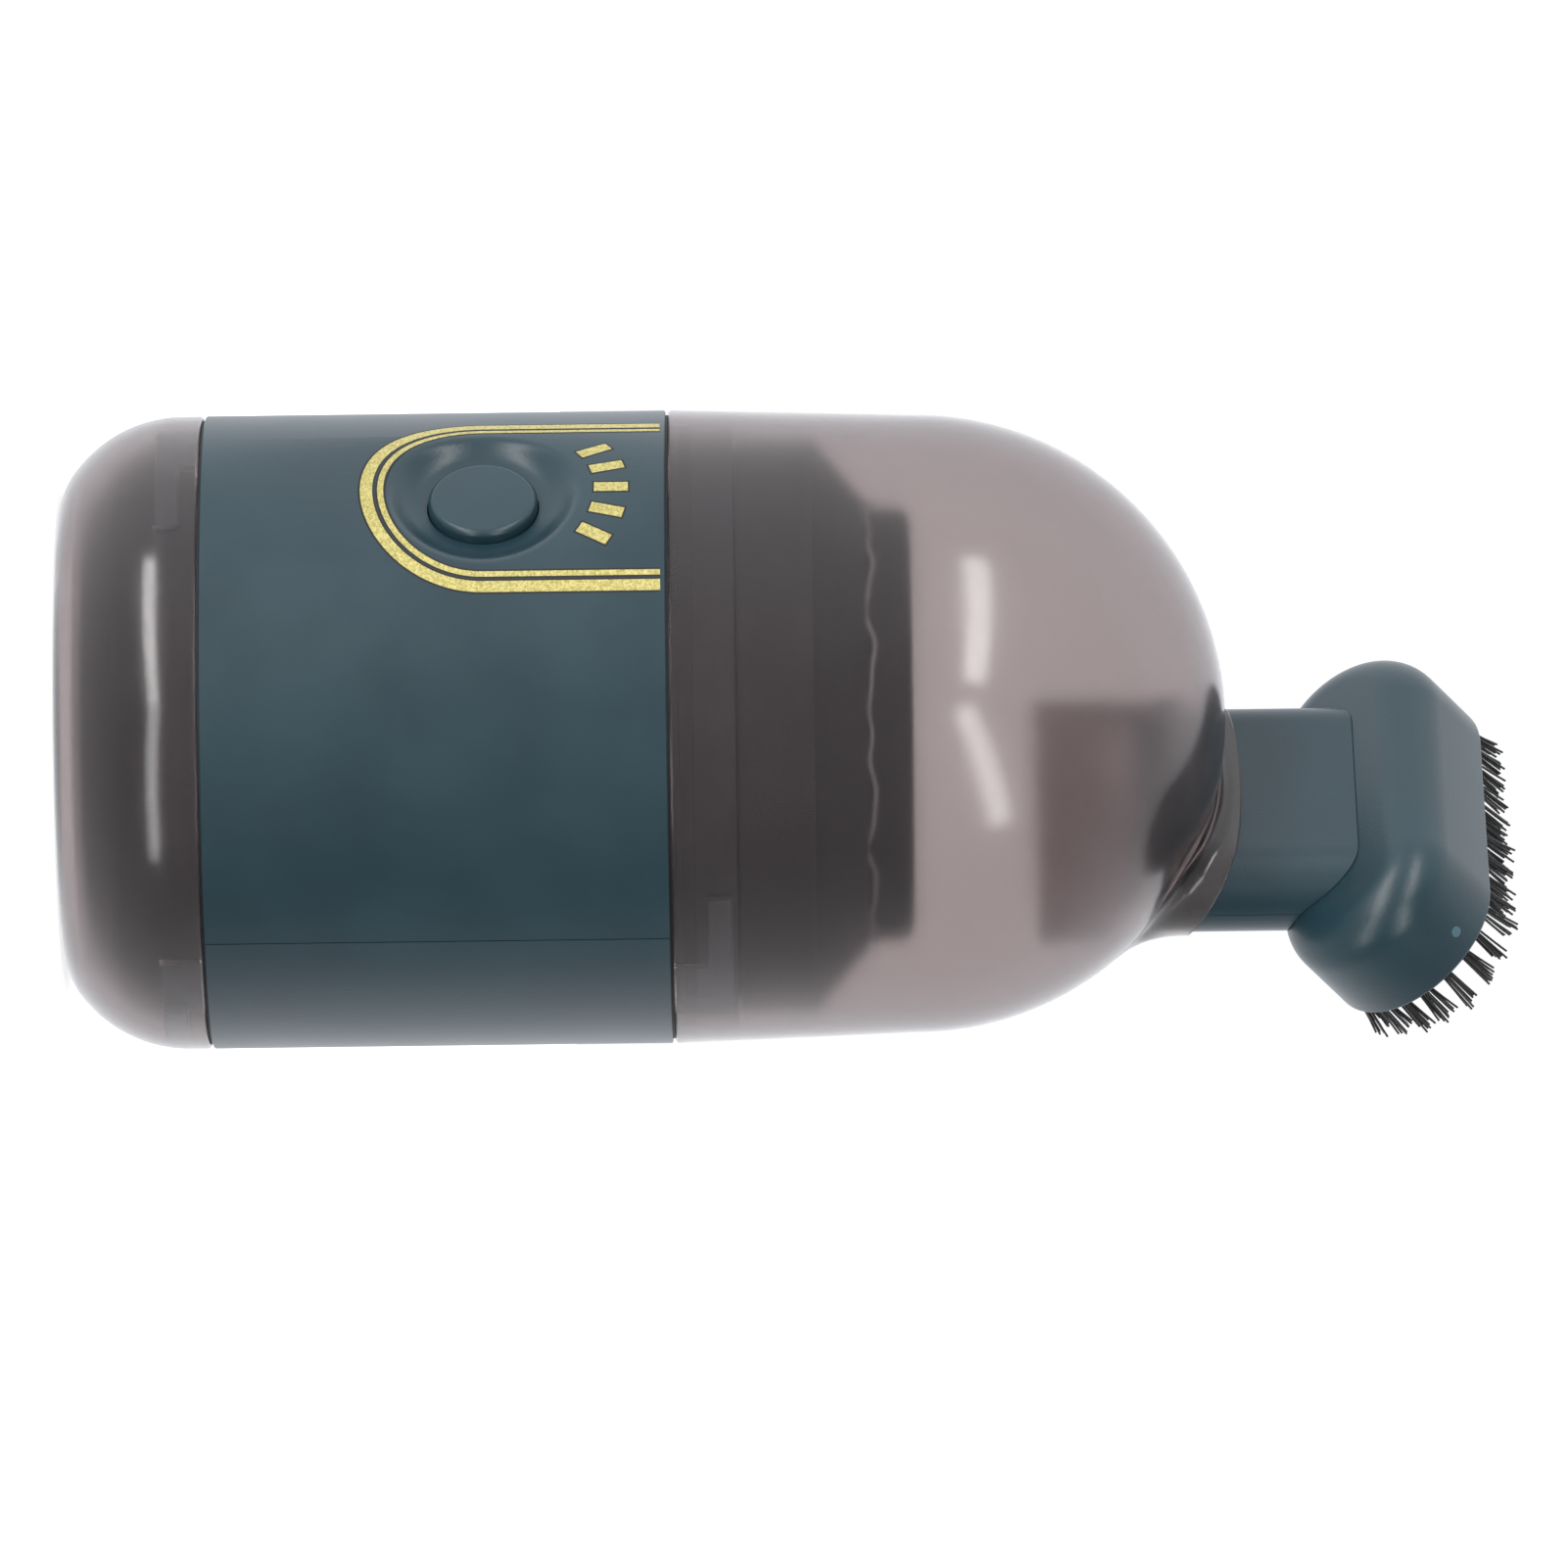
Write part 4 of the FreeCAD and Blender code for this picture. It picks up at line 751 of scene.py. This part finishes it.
def stacked(name, half, rings, count=STEPS):
    """A stadium block through (inset, height) rings, closed with a flat end at both ends."""
    points = []
    for inset, height in rings:
        points += [(p.x - n.x * inset, p.y - n.y * inset, height) for p, n in stations(half, count)]
    faces = [tuple(range(count))[::-1], tuple(range((len(rings) - 1) * count, len(rings) * count))]
    for r in range(len(rings) - 1):
        for i in range(count):
            after = (i + 1) % count
            faces.append((r * count + i, r * count + after,
                          (r + 1) * count + after, (r + 1) * count + i))
    return tidy_mesh(piece_from(name, points, faces=faces), 0.0001)


print(STEPS, "stations round a stadium")

# %% [markdown]
# A collar rises round the neck's root and runs out into the sphere in a hollow round, small at the
# front and wide at the back. No modifier gives a round that changes like this, so it is worked out at
# each station: an arc that touches both the collar's wall and the circle in which the sphere is cut
# there.

# %% Sections of the collar
DOME_Z = 97.1
DOME = 35.1
NECK_Y = 15.25
NECK_HALF = (16.35, 5.5)
FIT = 0.05
COLLAR_OFFSET = 0.45
COLLAR_TOP = 134.1
COLLAR_EASE = 0.15
FLARE_SIDE = 5.5
FLARE_BACK = 8.5
FLARE_FRONT = 3.4
FLARE_STEP = 0.005
KNEE_DROP = 0.3
ROOT_DEPTH = 1.2


def rim_height(base):
    """The rim is high at the front and falls with the sphere, slowly at first and then faster."""
    front_height = math.sqrt(DOME ** 2 - (NECK_Y - NECK_HALF[1]) ** 2)
    drop = front_height - math.sqrt(DOME ** 2 - base.length_squared)
    return COLLAR_TOP - 0.35 * drop - 0.05 * drop ** 2


def in_the_wall(base, normal, offset, depth):
    """The height at which a station's offset lies this deep in the sphere's wall."""
    return DOME_Z + math.sqrt((DOME - depth) ** 2 - (base + normal * offset).length_squared)


def flare_section(base, normal):
    """The collar's outline at one station, with the arc's centre at (start, knee)."""
    facing = normal.y
    flare = FLARE_SIDE + (FLARE_BACK if facing > 0 else FLARE_FRONT) * facing
    middle = -base.dot(normal)
    cut = math.sqrt(DOME ** 2 - (base.length_squared - middle * middle))
    top = rim_height(base)

    def knee_at(radius):
        return DOME_Z + math.sqrt((cut + radius) ** 2 - (COLLAR_OFFSET + radius - middle) ** 2)

    while knee_at(flare) > top - KNEE_DROP:
        flare -= FLARE_STEP
    start = COLLAR_OFFSET + flare
    knee = knee_at(flare)
    end = math.atan2(DOME_Z - knee, middle - start)
    first = -math.pi if end < 0 else math.pi
    turns = [first + (end - first) * i / 14 for i in range(15)]
    curve = [(start + flare * math.cos(a), knee + flare * math.sin(a)) for a in turns]
    inward = 1 - ROOT_DEPTH / cut
    foot = (middle + (curve[-1][0] - middle) * inward, DOME_Z + (curve[-1][1] - DOME_Z) * inward)
    inner_foot = (FIT, in_the_wall(base, normal, FIT, ROOT_DEPTH))
    rim = [(FIT, top - COLLAR_EASE), (FIT + COLLAR_EASE, top),
           (COLLAR_OFFSET - COLLAR_EASE, top), (COLLAR_OFFSET, top - COLLAR_EASE)]
    return [inner_foot, *rim, *curve, foot]


end_drop = COLLAR_TOP - rim_height(Vector((NECK_HALF[0], NECK_Y)))
print("the rim falls", round(end_drop, 2), "mm to the ends")

# %% [markdown]
# Inside the sphere a duct leads the dust down from the neck, and its top is the socket that the neck's
# foot is pushed into. It is a ring too, with a shelf for the foot, and it ends inside the sphere's
# wall, so that the two join without a lump.

# %% Section of the duct
DUCT_HALF_WALL = 1.2
DUCT_FOOT = 110.8
NECK_FOOT = 122.9


def duct_section(base, normal):
    outer_top = in_the_wall(base, normal, DUCT_HALF_WALL, 1.0)
    inner_top = max(in_the_wall(base, normal, FIT, 1.0), NECK_FOOT + FIT)
    return [(-DUCT_HALF_WALL, DUCT_FOOT), (DUCT_HALF_WALL, DUCT_FOOT), (DUCT_HALF_WALL, outer_top),
            (FIT, inner_top), (FIT, NECK_FOOT), (-DUCT_HALF_WALL, NECK_FOOT)]


print("duct", round(NECK_FOOT - DUCT_FOOT, 2), "mm long")

# %% [markdown]
# The dust cup is a tube with a slight draft and a half sphere on it, in one clear moulding. The shell
# is turned, a stadium is cut out for the neck, and collar and duct are joined on. Two bayonet slots are
# sunk at the seams, where the collar's lugs go in.

# %% Dust cup
CUP_SLOT = (73.2, 76.0)
cup_outside = [(OUTSIDE - RIM_BREAK, CUP_LOW), (OUTSIDE, CUP_LOW + RIM_BREAK)]
cup_outside += arc((0.0, DOME_Z), DOME - SKIN, 0.0, 90.0, 48)
cup_inside = arc((0.0, DOME_Z), DOME - WALL, 90.0, 0.0, 48) + [(INSIDE, CUP_LOW)]
cup = lathe("dust_cup_shell", cup_outside + cup_inside, steps=160)

room_half = (NECK_HALF[0] + 0.5, NECK_HALF[1] + 0.5)
duct_room = stacked("duct_room", room_half, [(0.0, 100.0), (0.0, 140.0)])
for vertex in duct_room.data.vertices:
    vertex.co.y += NECK_Y * MM
boolean(cup, [duct_room])
collar = ring_solid("collar", NECK_HALF, flare_section, NECK_Y)
duct = ring_solid("duct", NECK_HALF, duct_section, NECK_Y)
boolean(cup, [collar, duct], "UNION")

slots = []
for bearing in (0.0, 180.0):
    slots += bayonet_slot("cup_slot", CUP_LOW, *CUP_SLOT, 1, bearing)
boolean(cup, slots)
hand_over(cup, "dust_cup_shell", "cup", "smoke_clear", ["dust_cup"])

# %% [markdown]
# A thin dark film in the joint between the neck and the collar is painted shade. It stands in for the
# shaded neck seen through the collar and makes the clear collar look nearly black, so it is a ring of
# its own in the gap.

# %% Painted shade in the collar's joint
FILM = (0.012, 0.038)


def film_section(base, normal):
    low = NECK_FOOT + 0.1
    high = rim_height(base) - 0.2
    return [(FILM[0], low), (FILM[1], low), (FILM[1], high), (FILM[0], high)]


collar_shade_film = ring_solid("collar_painted_shade", NECK_HALF, film_section, NECK_Y)
hand_over(collar_shade_film, "collar_painted_shade", "cup", "seal_rubber")

# %% [markdown]
# The brush head sits at a slant on the neck, and all its parts are square to each other. So they are
# made in the head's own frame, with its back on the ground, and tilted afterwards, which is simpler
# than drawing them at a slant. Neck and stem are upright, and need only a shift.

# %% Head and neck frames
HEAD_HALF = (23.7, 10.97)
HEAD_DEPTH = 13.6
HEAD_ROUND = 5.5
HEAD_EDGE = 0.5
HEAD_FOOT = Vector((0.0, 11.26, 145.3))
HEAD_TILT = math.radians(52.0)
NECK_WALL = 1.5


def tilt(item):
    """Carry a piece from the head's own frame to the machine's."""
    item.data.transform(Matrix.Translation(HEAD_FOOT * MM) @ Matrix.Rotation(-HEAD_TILT, 4, "X"))
    return item


def head_rings(grow):
    """The rounded back of the head, grown outwards by this much."""
    back = HEAD_ROUND + grow
    turns = [math.radians(a) for a in range(0, 91, 6)]
    return [(back - back * math.sin(a) - grow, back - back * math.cos(a) - grow) for a in turns]


def upright(name, inset, low, high):
    """A stadium block in line with the neck."""
    made = stacked(name, NECK_HALF, [(inset, low), (inset, high)])
    made.data.transform(Matrix.Translation((0.0, NECK_Y * MM, 0.0)))
    return made


print("head tilted", round(math.degrees(HEAD_TILT), 1), "degrees")

# %% [markdown]
# The brush head is a hollow stadium block with a softly rounded back and a groove for the tufts. Mouth
# and groove are cut while it is square. The stem that plugs into the neck is joined on after the tilt,
# and its bore opens into the mouth.

# %% Brush head
GROOVE = (-2.55, -0.85)
GROOVE_DEPTH = 1.5
MOUTH = [(4.6, 2.4), (3.8, 3.0), (3.4, 4.2), (3.4, HEAD_DEPTH + 1)]
STEM_FOOT = 127.0
STEM_TOP = 145.0
STEM_WALL = 1.35
STEM_BORE_TOP = 150.3


def groove_section(base, normal):
    low, high = HEAD_DEPTH - GROOVE_DEPTH, HEAD_DEPTH + 1
    return [(GROOVE[0], low), (GROOVE[1], low), (GROOVE[1], high), (GROOVE[0], high)]


head_edge = [(HEAD_EDGE - HEAD_EDGE * math.cos(a), HEAD_DEPTH - HEAD_EDGE + HEAD_EDGE * math.sin(a))
             for a in [math.radians(a) for a in range(0, 91, 15)]]
head = stacked("head", HEAD_HALF, head_rings(0.0) + head_edge)
boolean(head, [stacked("mouth", HEAD_HALF, MOUTH), ring_solid("groove", HEAD_HALF, groove_section, 0.0)])
tilt(head)
boolean(head, [upright("stem", NECK_WALL + FIT, STEM_FOOT, STEM_TOP)], "UNION")
boolean(head, [upright("stem_bore", NECK_WALL + STEM_WALL, STEM_FOOT - 7.0, STEM_BORE_TOP)])
hand_over(head, "brush_head_shell", "brush", "teal_shell", ["brush_head"])

# %% [markdown]
# The head has a gate mark, the small round scar where the plastic was let into the mould. It is a low
# disc with a raised ring, turned flat and then set square on the rounded end of the head.

# %% Gate mark
GATE_BEARING = math.radians(-46.0)
GATE_HEIGHT = 10.4
GATE_SUNK = 0.02
GATE_PROFILE = [(0.0, -0.3), (0.62, -0.3), (0.62, 0.03), (0.45, 0.07), (0.25, 0.03), (0.0, 0.05)]
gate = lathe("gate_mark", GATE_PROFILE, steps=32)
gate_side = Vector((math.cos(GATE_BEARING), math.sin(GATE_BEARING), 0.0))
gate_turn = gate_side.to_track_quat("Z", "Y").to_matrix().to_4x4()
end_middle = Vector((HEAD_HALF[0] - HEAD_HALF[1], 0.0, GATE_HEIGHT))
gate_spot = end_middle + gate_side * (HEAD_HALF[1] - GATE_SUNK)
gate.data.transform(Matrix.Translation(gate_spot * MM) @ gate_turn)
tilt(gate)
hand_over(gate, "gate_mark", "brush", "teal_shell", material=SCAR)

# %% [markdown]
# The neck is a flat tube with a fine moulding line down each end. It is trimmed to the back of the
# brush head with a hair's breadth of gap, which is the thin dark line in the photograph. The trimming
# tool is the head itself, grown by that gap.

# %% Neck
NECK_TOP = 148.3
HEAD_GAP = 0.1
LINE_X = 16.43
LINE_DEPTH = 0.13
LINE_HALF = 0.06
neck = upright("neck_tube", 0.0, NECK_FOOT, NECK_TOP)
boolean(neck, [upright("neck_bore", NECK_WALL, 120.0, 152.0)])
for side in (-1, 1):
    low = (side * LINE_X - LINE_DEPTH, NECK_Y - LINE_HALF, 120.0)
    high = (side * LINE_X + LINE_DEPTH, NECK_Y + LINE_HALF, 152.0)
    boolean(neck, [block("neck_line", low, high)])
head_room = stacked("head_room", HEAD_HALF, head_rings(HEAD_GAP) + [(-HEAD_GAP, HEAD_DEPTH + 3)])
boolean(neck, [tilt(head_room)])
hand_over(neck, "neck_shell", "cup", "teal_shell", ["nozzle_neck"])

# %% [markdown]
# The bristles are black nylon filaments, set in tufts. Each filament leans a little its own way and
# their tips splay, from one seeded draw, so that the same brush comes out every time. There are
# hundreds of them, so one is a five-sided tube with only two bends, and all of them are one mesh.

# %% Bristles
FILAMENT = 0.14
FILAMENT_SIDES = 5
FILAMENT_LENGTH = (6.0, 6.75)
TUFT_RADIUS = 0.62
TUFTS = 36
PER_TUFT = 13
TUFT_INSET = 1.7
draw = random.Random(7)


def filament(points, faces, foot, lean, length):
    """Add one filament of three lengths that bends outwards."""
    start = len(points)
    for level in range(4):
        share = level / 3
        middle = foot + Vector((lean.x * share ** 1.4, lean.y * share ** 1.4, length * share))
        for k in range(FILAMENT_SIDES):
            a = 2 * math.pi * k / FILAMENT_SIDES
            points.append(middle + Vector((FILAMENT * math.cos(a), FILAMENT * math.sin(a), 0.0)))
    for level in range(3):
        row = start + level * FILAMENT_SIDES
        for k in range(FILAMENT_SIDES):
            a, b = row + k, row + (k + 1) % FILAMENT_SIDES
            faces.append((a, b, b + FILAMENT_SIDES, a + FILAMENT_SIDES))
    faces.append(tuple(start + k for k in reversed(range(FILAMENT_SIDES))))
    faces.append(tuple(start + 3 * FILAMENT_SIDES + k for k in range(FILAMENT_SIDES)))


points, faces = [], []
for place, normal in stations((HEAD_HALF[0] - TUFT_INSET, HEAD_HALF[1] - TUFT_INSET), TUFTS):
    tuft_lean = Vector((normal.x, normal.y)) * draw.uniform(0.2, 1.0)
    tuft_lean += Vector((draw.uniform(-0.5, 0.5), 0.0))
    for _ in range(PER_TUFT):
        a, r = draw.uniform(0, 2 * math.pi), TUFT_RADIUS * math.sqrt(draw.random())
        offset = Vector((r * math.cos(a), r * math.sin(a)))
        foot = Vector((place.x + offset.x, place.y + offset.y, HEAD_DEPTH - GROOVE_DEPTH))
        lean = tuft_lean + offset * draw.uniform(0.3, 1.3)
        filament(points, faces, foot, lean, draw.uniform(*FILAMENT_LENGTH))
bristles = tilt(tidy_mesh(piece_from("bristle_filaments", points, faces=faces), 0.0001))
hand_over(bristles, "bristle_filaments", "brush", "bristle_nylon", ["bristle_tufts"])

# %% [markdown]
# The foam's cloth hem shows through the dust cup as a wavy pale line. It is a thin cord round the foam,
# whose height wanders in three slow waves, as a sewn edge does. A cord is a ring of small hexagons
# joined up.

# %% Filter hem
HEM_RADIUS = 25.1
HEM_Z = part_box("filter_frame")[1][2] / MM + 0.45
HEM_THICK = 0.22
HEM_STEPS = 240
HEM_SIDES = 6
HEM_WAVES = ((0.28, 11, 0.0), (0.2, 17, 1.0), (0.12, 29, 2.0))
points, faces = [], []
for i in range(HEM_STEPS):
    a = 2 * math.pi * i / HEM_STEPS
    height = HEM_Z + sum(size * math.sin(waves * a + lag) for size, waves, lag in HEM_WAVES)
    after = (i + 1) % HEM_STEPS
    for k in range(HEM_SIDES):
        b = 2 * math.pi * k / HEM_SIDES
        reach = HEM_RADIUS + HEM_THICK * math.cos(b)
        points.append((reach * math.cos(a), reach * math.sin(a), height + HEM_THICK * math.sin(b)))
        nxt = (k + 1) % HEM_SIDES
        faces.append((i * HEM_SIDES + k, after * HEM_SIDES + k,
                      after * HEM_SIDES + nxt, i * HEM_SIDES + nxt))
hem = tidy_mesh(piece_from("filter_hem", points, faces=faces), 0.0001)
hand_over(hem, "filter_hem", "filter", "soft_foam", material=HEM, angle=60.0)

# %% [markdown]
# The floor is a sheet of pale paper that keeps the machine's shadow. The camera sees it brightened to
# white, as an exposed studio floor is, and so do lines of sight through the clear parts. The lights
# stand partly below it, so it lets shadow rays and reflections pass.

# %% Floor
deselect()
bpy.ops.mesh.primitive_plane_add(size=6.0, location=(0, 0, 0))
floor = bpy.context.active_object
floor.name = "pale_floor"
paper = new_material("white_paper")
ray = add(paper, "ShaderNodeLightPath").outputs
matt = add(paper, "ShaderNodeBsdfDiffuse", Color=(0.86, 0.86, 0.86, 1.0))
glow = add(paper, "ShaderNodeEmission", Strength=0.75)
plain = add(paper, "ShaderNodeEmission", Strength=1.0)
lit = add(paper, "ShaderNodeAddShader", [(matt.outputs[0], 0), (glow.outputs[0], 1)])
seen = add(paper, "ShaderNodeMixShader", [
    (ray["Is Camera Ray"], 0), (matt.outputs[0], 1), (lit.outputs[0], 2)])
behind = add(paper, "ShaderNodeMixShader", [
    (ray["Is Transmission Ray"], 0), (seen.outputs[0], 1), (plain.outputs[0], 2)])
passing = add(paper, "ShaderNodeMath", [(ray["Is Shadow Ray"], 0), (ray["Is Glossy Ray"], 1)],
              operation="MAXIMUM")
through = add(paper, "ShaderNodeBsdfTransparent")
sheet = add(paper, "ShaderNodeMixShader", [
    (passing.outputs[0], 0), (behind.outputs[0], 1), (through.outputs[0], 2)])
add(paper, "ShaderNodeOutputMaterial", [(sheet.outputs[0], "Surface")])
floor.data.materials.append(paper)
print("floor", [round(size, 2) for size in floor.dimensions], "m")

# %% [markdown]
# The surround is a white room for the camera and for lines of sight through the clear parts. For
# everything else it is a soft light from behind and from the top of the picture, which fades to almost
# nothing towards the camera. That gives the pale edges along the silhouette and leaves the middle of
# the tube plain.

# %% Surround
FADE_LEAN = 0.32
world = bpy.data.worlds.new("studio")
bpy.context.scene.world = world
world.use_nodes = True
world.node_tree.nodes.clear()
ray = add(world, "ShaderNodeLightPath").outputs
way = add(world, "ShaderNodeTexCoord")
facing = add(world, "ShaderNodeVectorMath", [(way.outputs["Generated"], 0)], operation="DOT_PRODUCT")
facing.inputs[1].default_value = (towards + down * FADE_LEAN).normalized()
fade = add(world, "ShaderNodeMapRange", [(facing.outputs["Value"], "Value")],
           From_Min=-0.25, From_Max=0.85, To_Min=1.3, To_Max=0.1)
soft = add(world, "ShaderNodeBackground", [(fade.outputs["Result"], "Strength")],
           Color=(0.94, 0.96, 1.0, 1.0))
white = add(world, "ShaderNodeBackground", Color=(1.0, 1.0, 1.0, 1.0), Strength=1.0)
either = add(world, "ShaderNodeMath", [(ray["Is Camera Ray"], 0), (ray["Is Transmission Ray"], 1)],
             operation="MAXIMUM")
sky = add(world, "ShaderNodeMixShader", [
    (either.outputs[0], 0), (soft.outputs[0], 1), (white.outputs[0], 2)])
add(world, "ShaderNodeOutputWorld", [(sky.outputs[0], "Surface")])
print("surround leans", FADE_LEAN)

# %% [markdown]
# Four long soft boxes give the glints of the photograph: two to the right for the sphere and two to the
# left for the cap, each pair one above the other with a small break between. They are placed by their
# bearing from the camera's line, since a glint sits half way between the two.

# %% Soft boxes
BOX_REACH = 1.1
BOX_WIDTH = 0.17
# Name, bearing along the machine, bearing across it, half the length, lean (all in degrees), and watts
SOFT_BOXES = (
    ("box_right_upper", 22.0, -41.0, 24.0, 3.0, 5.1),
    ("box_right_lower", 25.0, 17.0, 23.0, 17.0, 3.9),
    ("box_left_upper", -24.3, -40.0, 26.0, 0.0, 6.9),
    ("box_left_lower", -24.3, 17.5, 28.0, 0.0, 4.2),
)


def soft_box(name, side, across, half, lean, power):
    """A long soft box at two bearings from the camera's line, turned to the machine."""
    a, b, c = math.radians(side), math.radians(across), math.radians(lean)
    out = (towards * math.cos(b) + down * math.sin(b)) * math.cos(a) + axis * math.sin(a)
    along = (down * math.cos(b) - towards * math.sin(b)).normalized()
    along = (along * math.cos(c) + axis * math.sin(c)).normalized()
    along = (along - out * along.dot(out)).normalized()
    data = bpy.data.lights.new(name, "AREA")
    data.shape = "RECTANGLE"
    data.size = 2 * BOX_REACH * math.tan(math.radians(half))
    data.size_y = BOX_WIDTH
    data.energy = power
    made = bpy.data.objects.new(name, data)
    bpy.context.scene.collection.objects.link(made)
    turn = Matrix((along, out.cross(along), out)).transposed().to_4x4()
    made.matrix_world = Matrix.Translation(axis * AIM_Z * MM + out * BOX_REACH) @ turn
    print(name, round(data.size, 2), "m long,", power, "W")
    return made


for row in SOFT_BOXES:
    soft_box(*row)
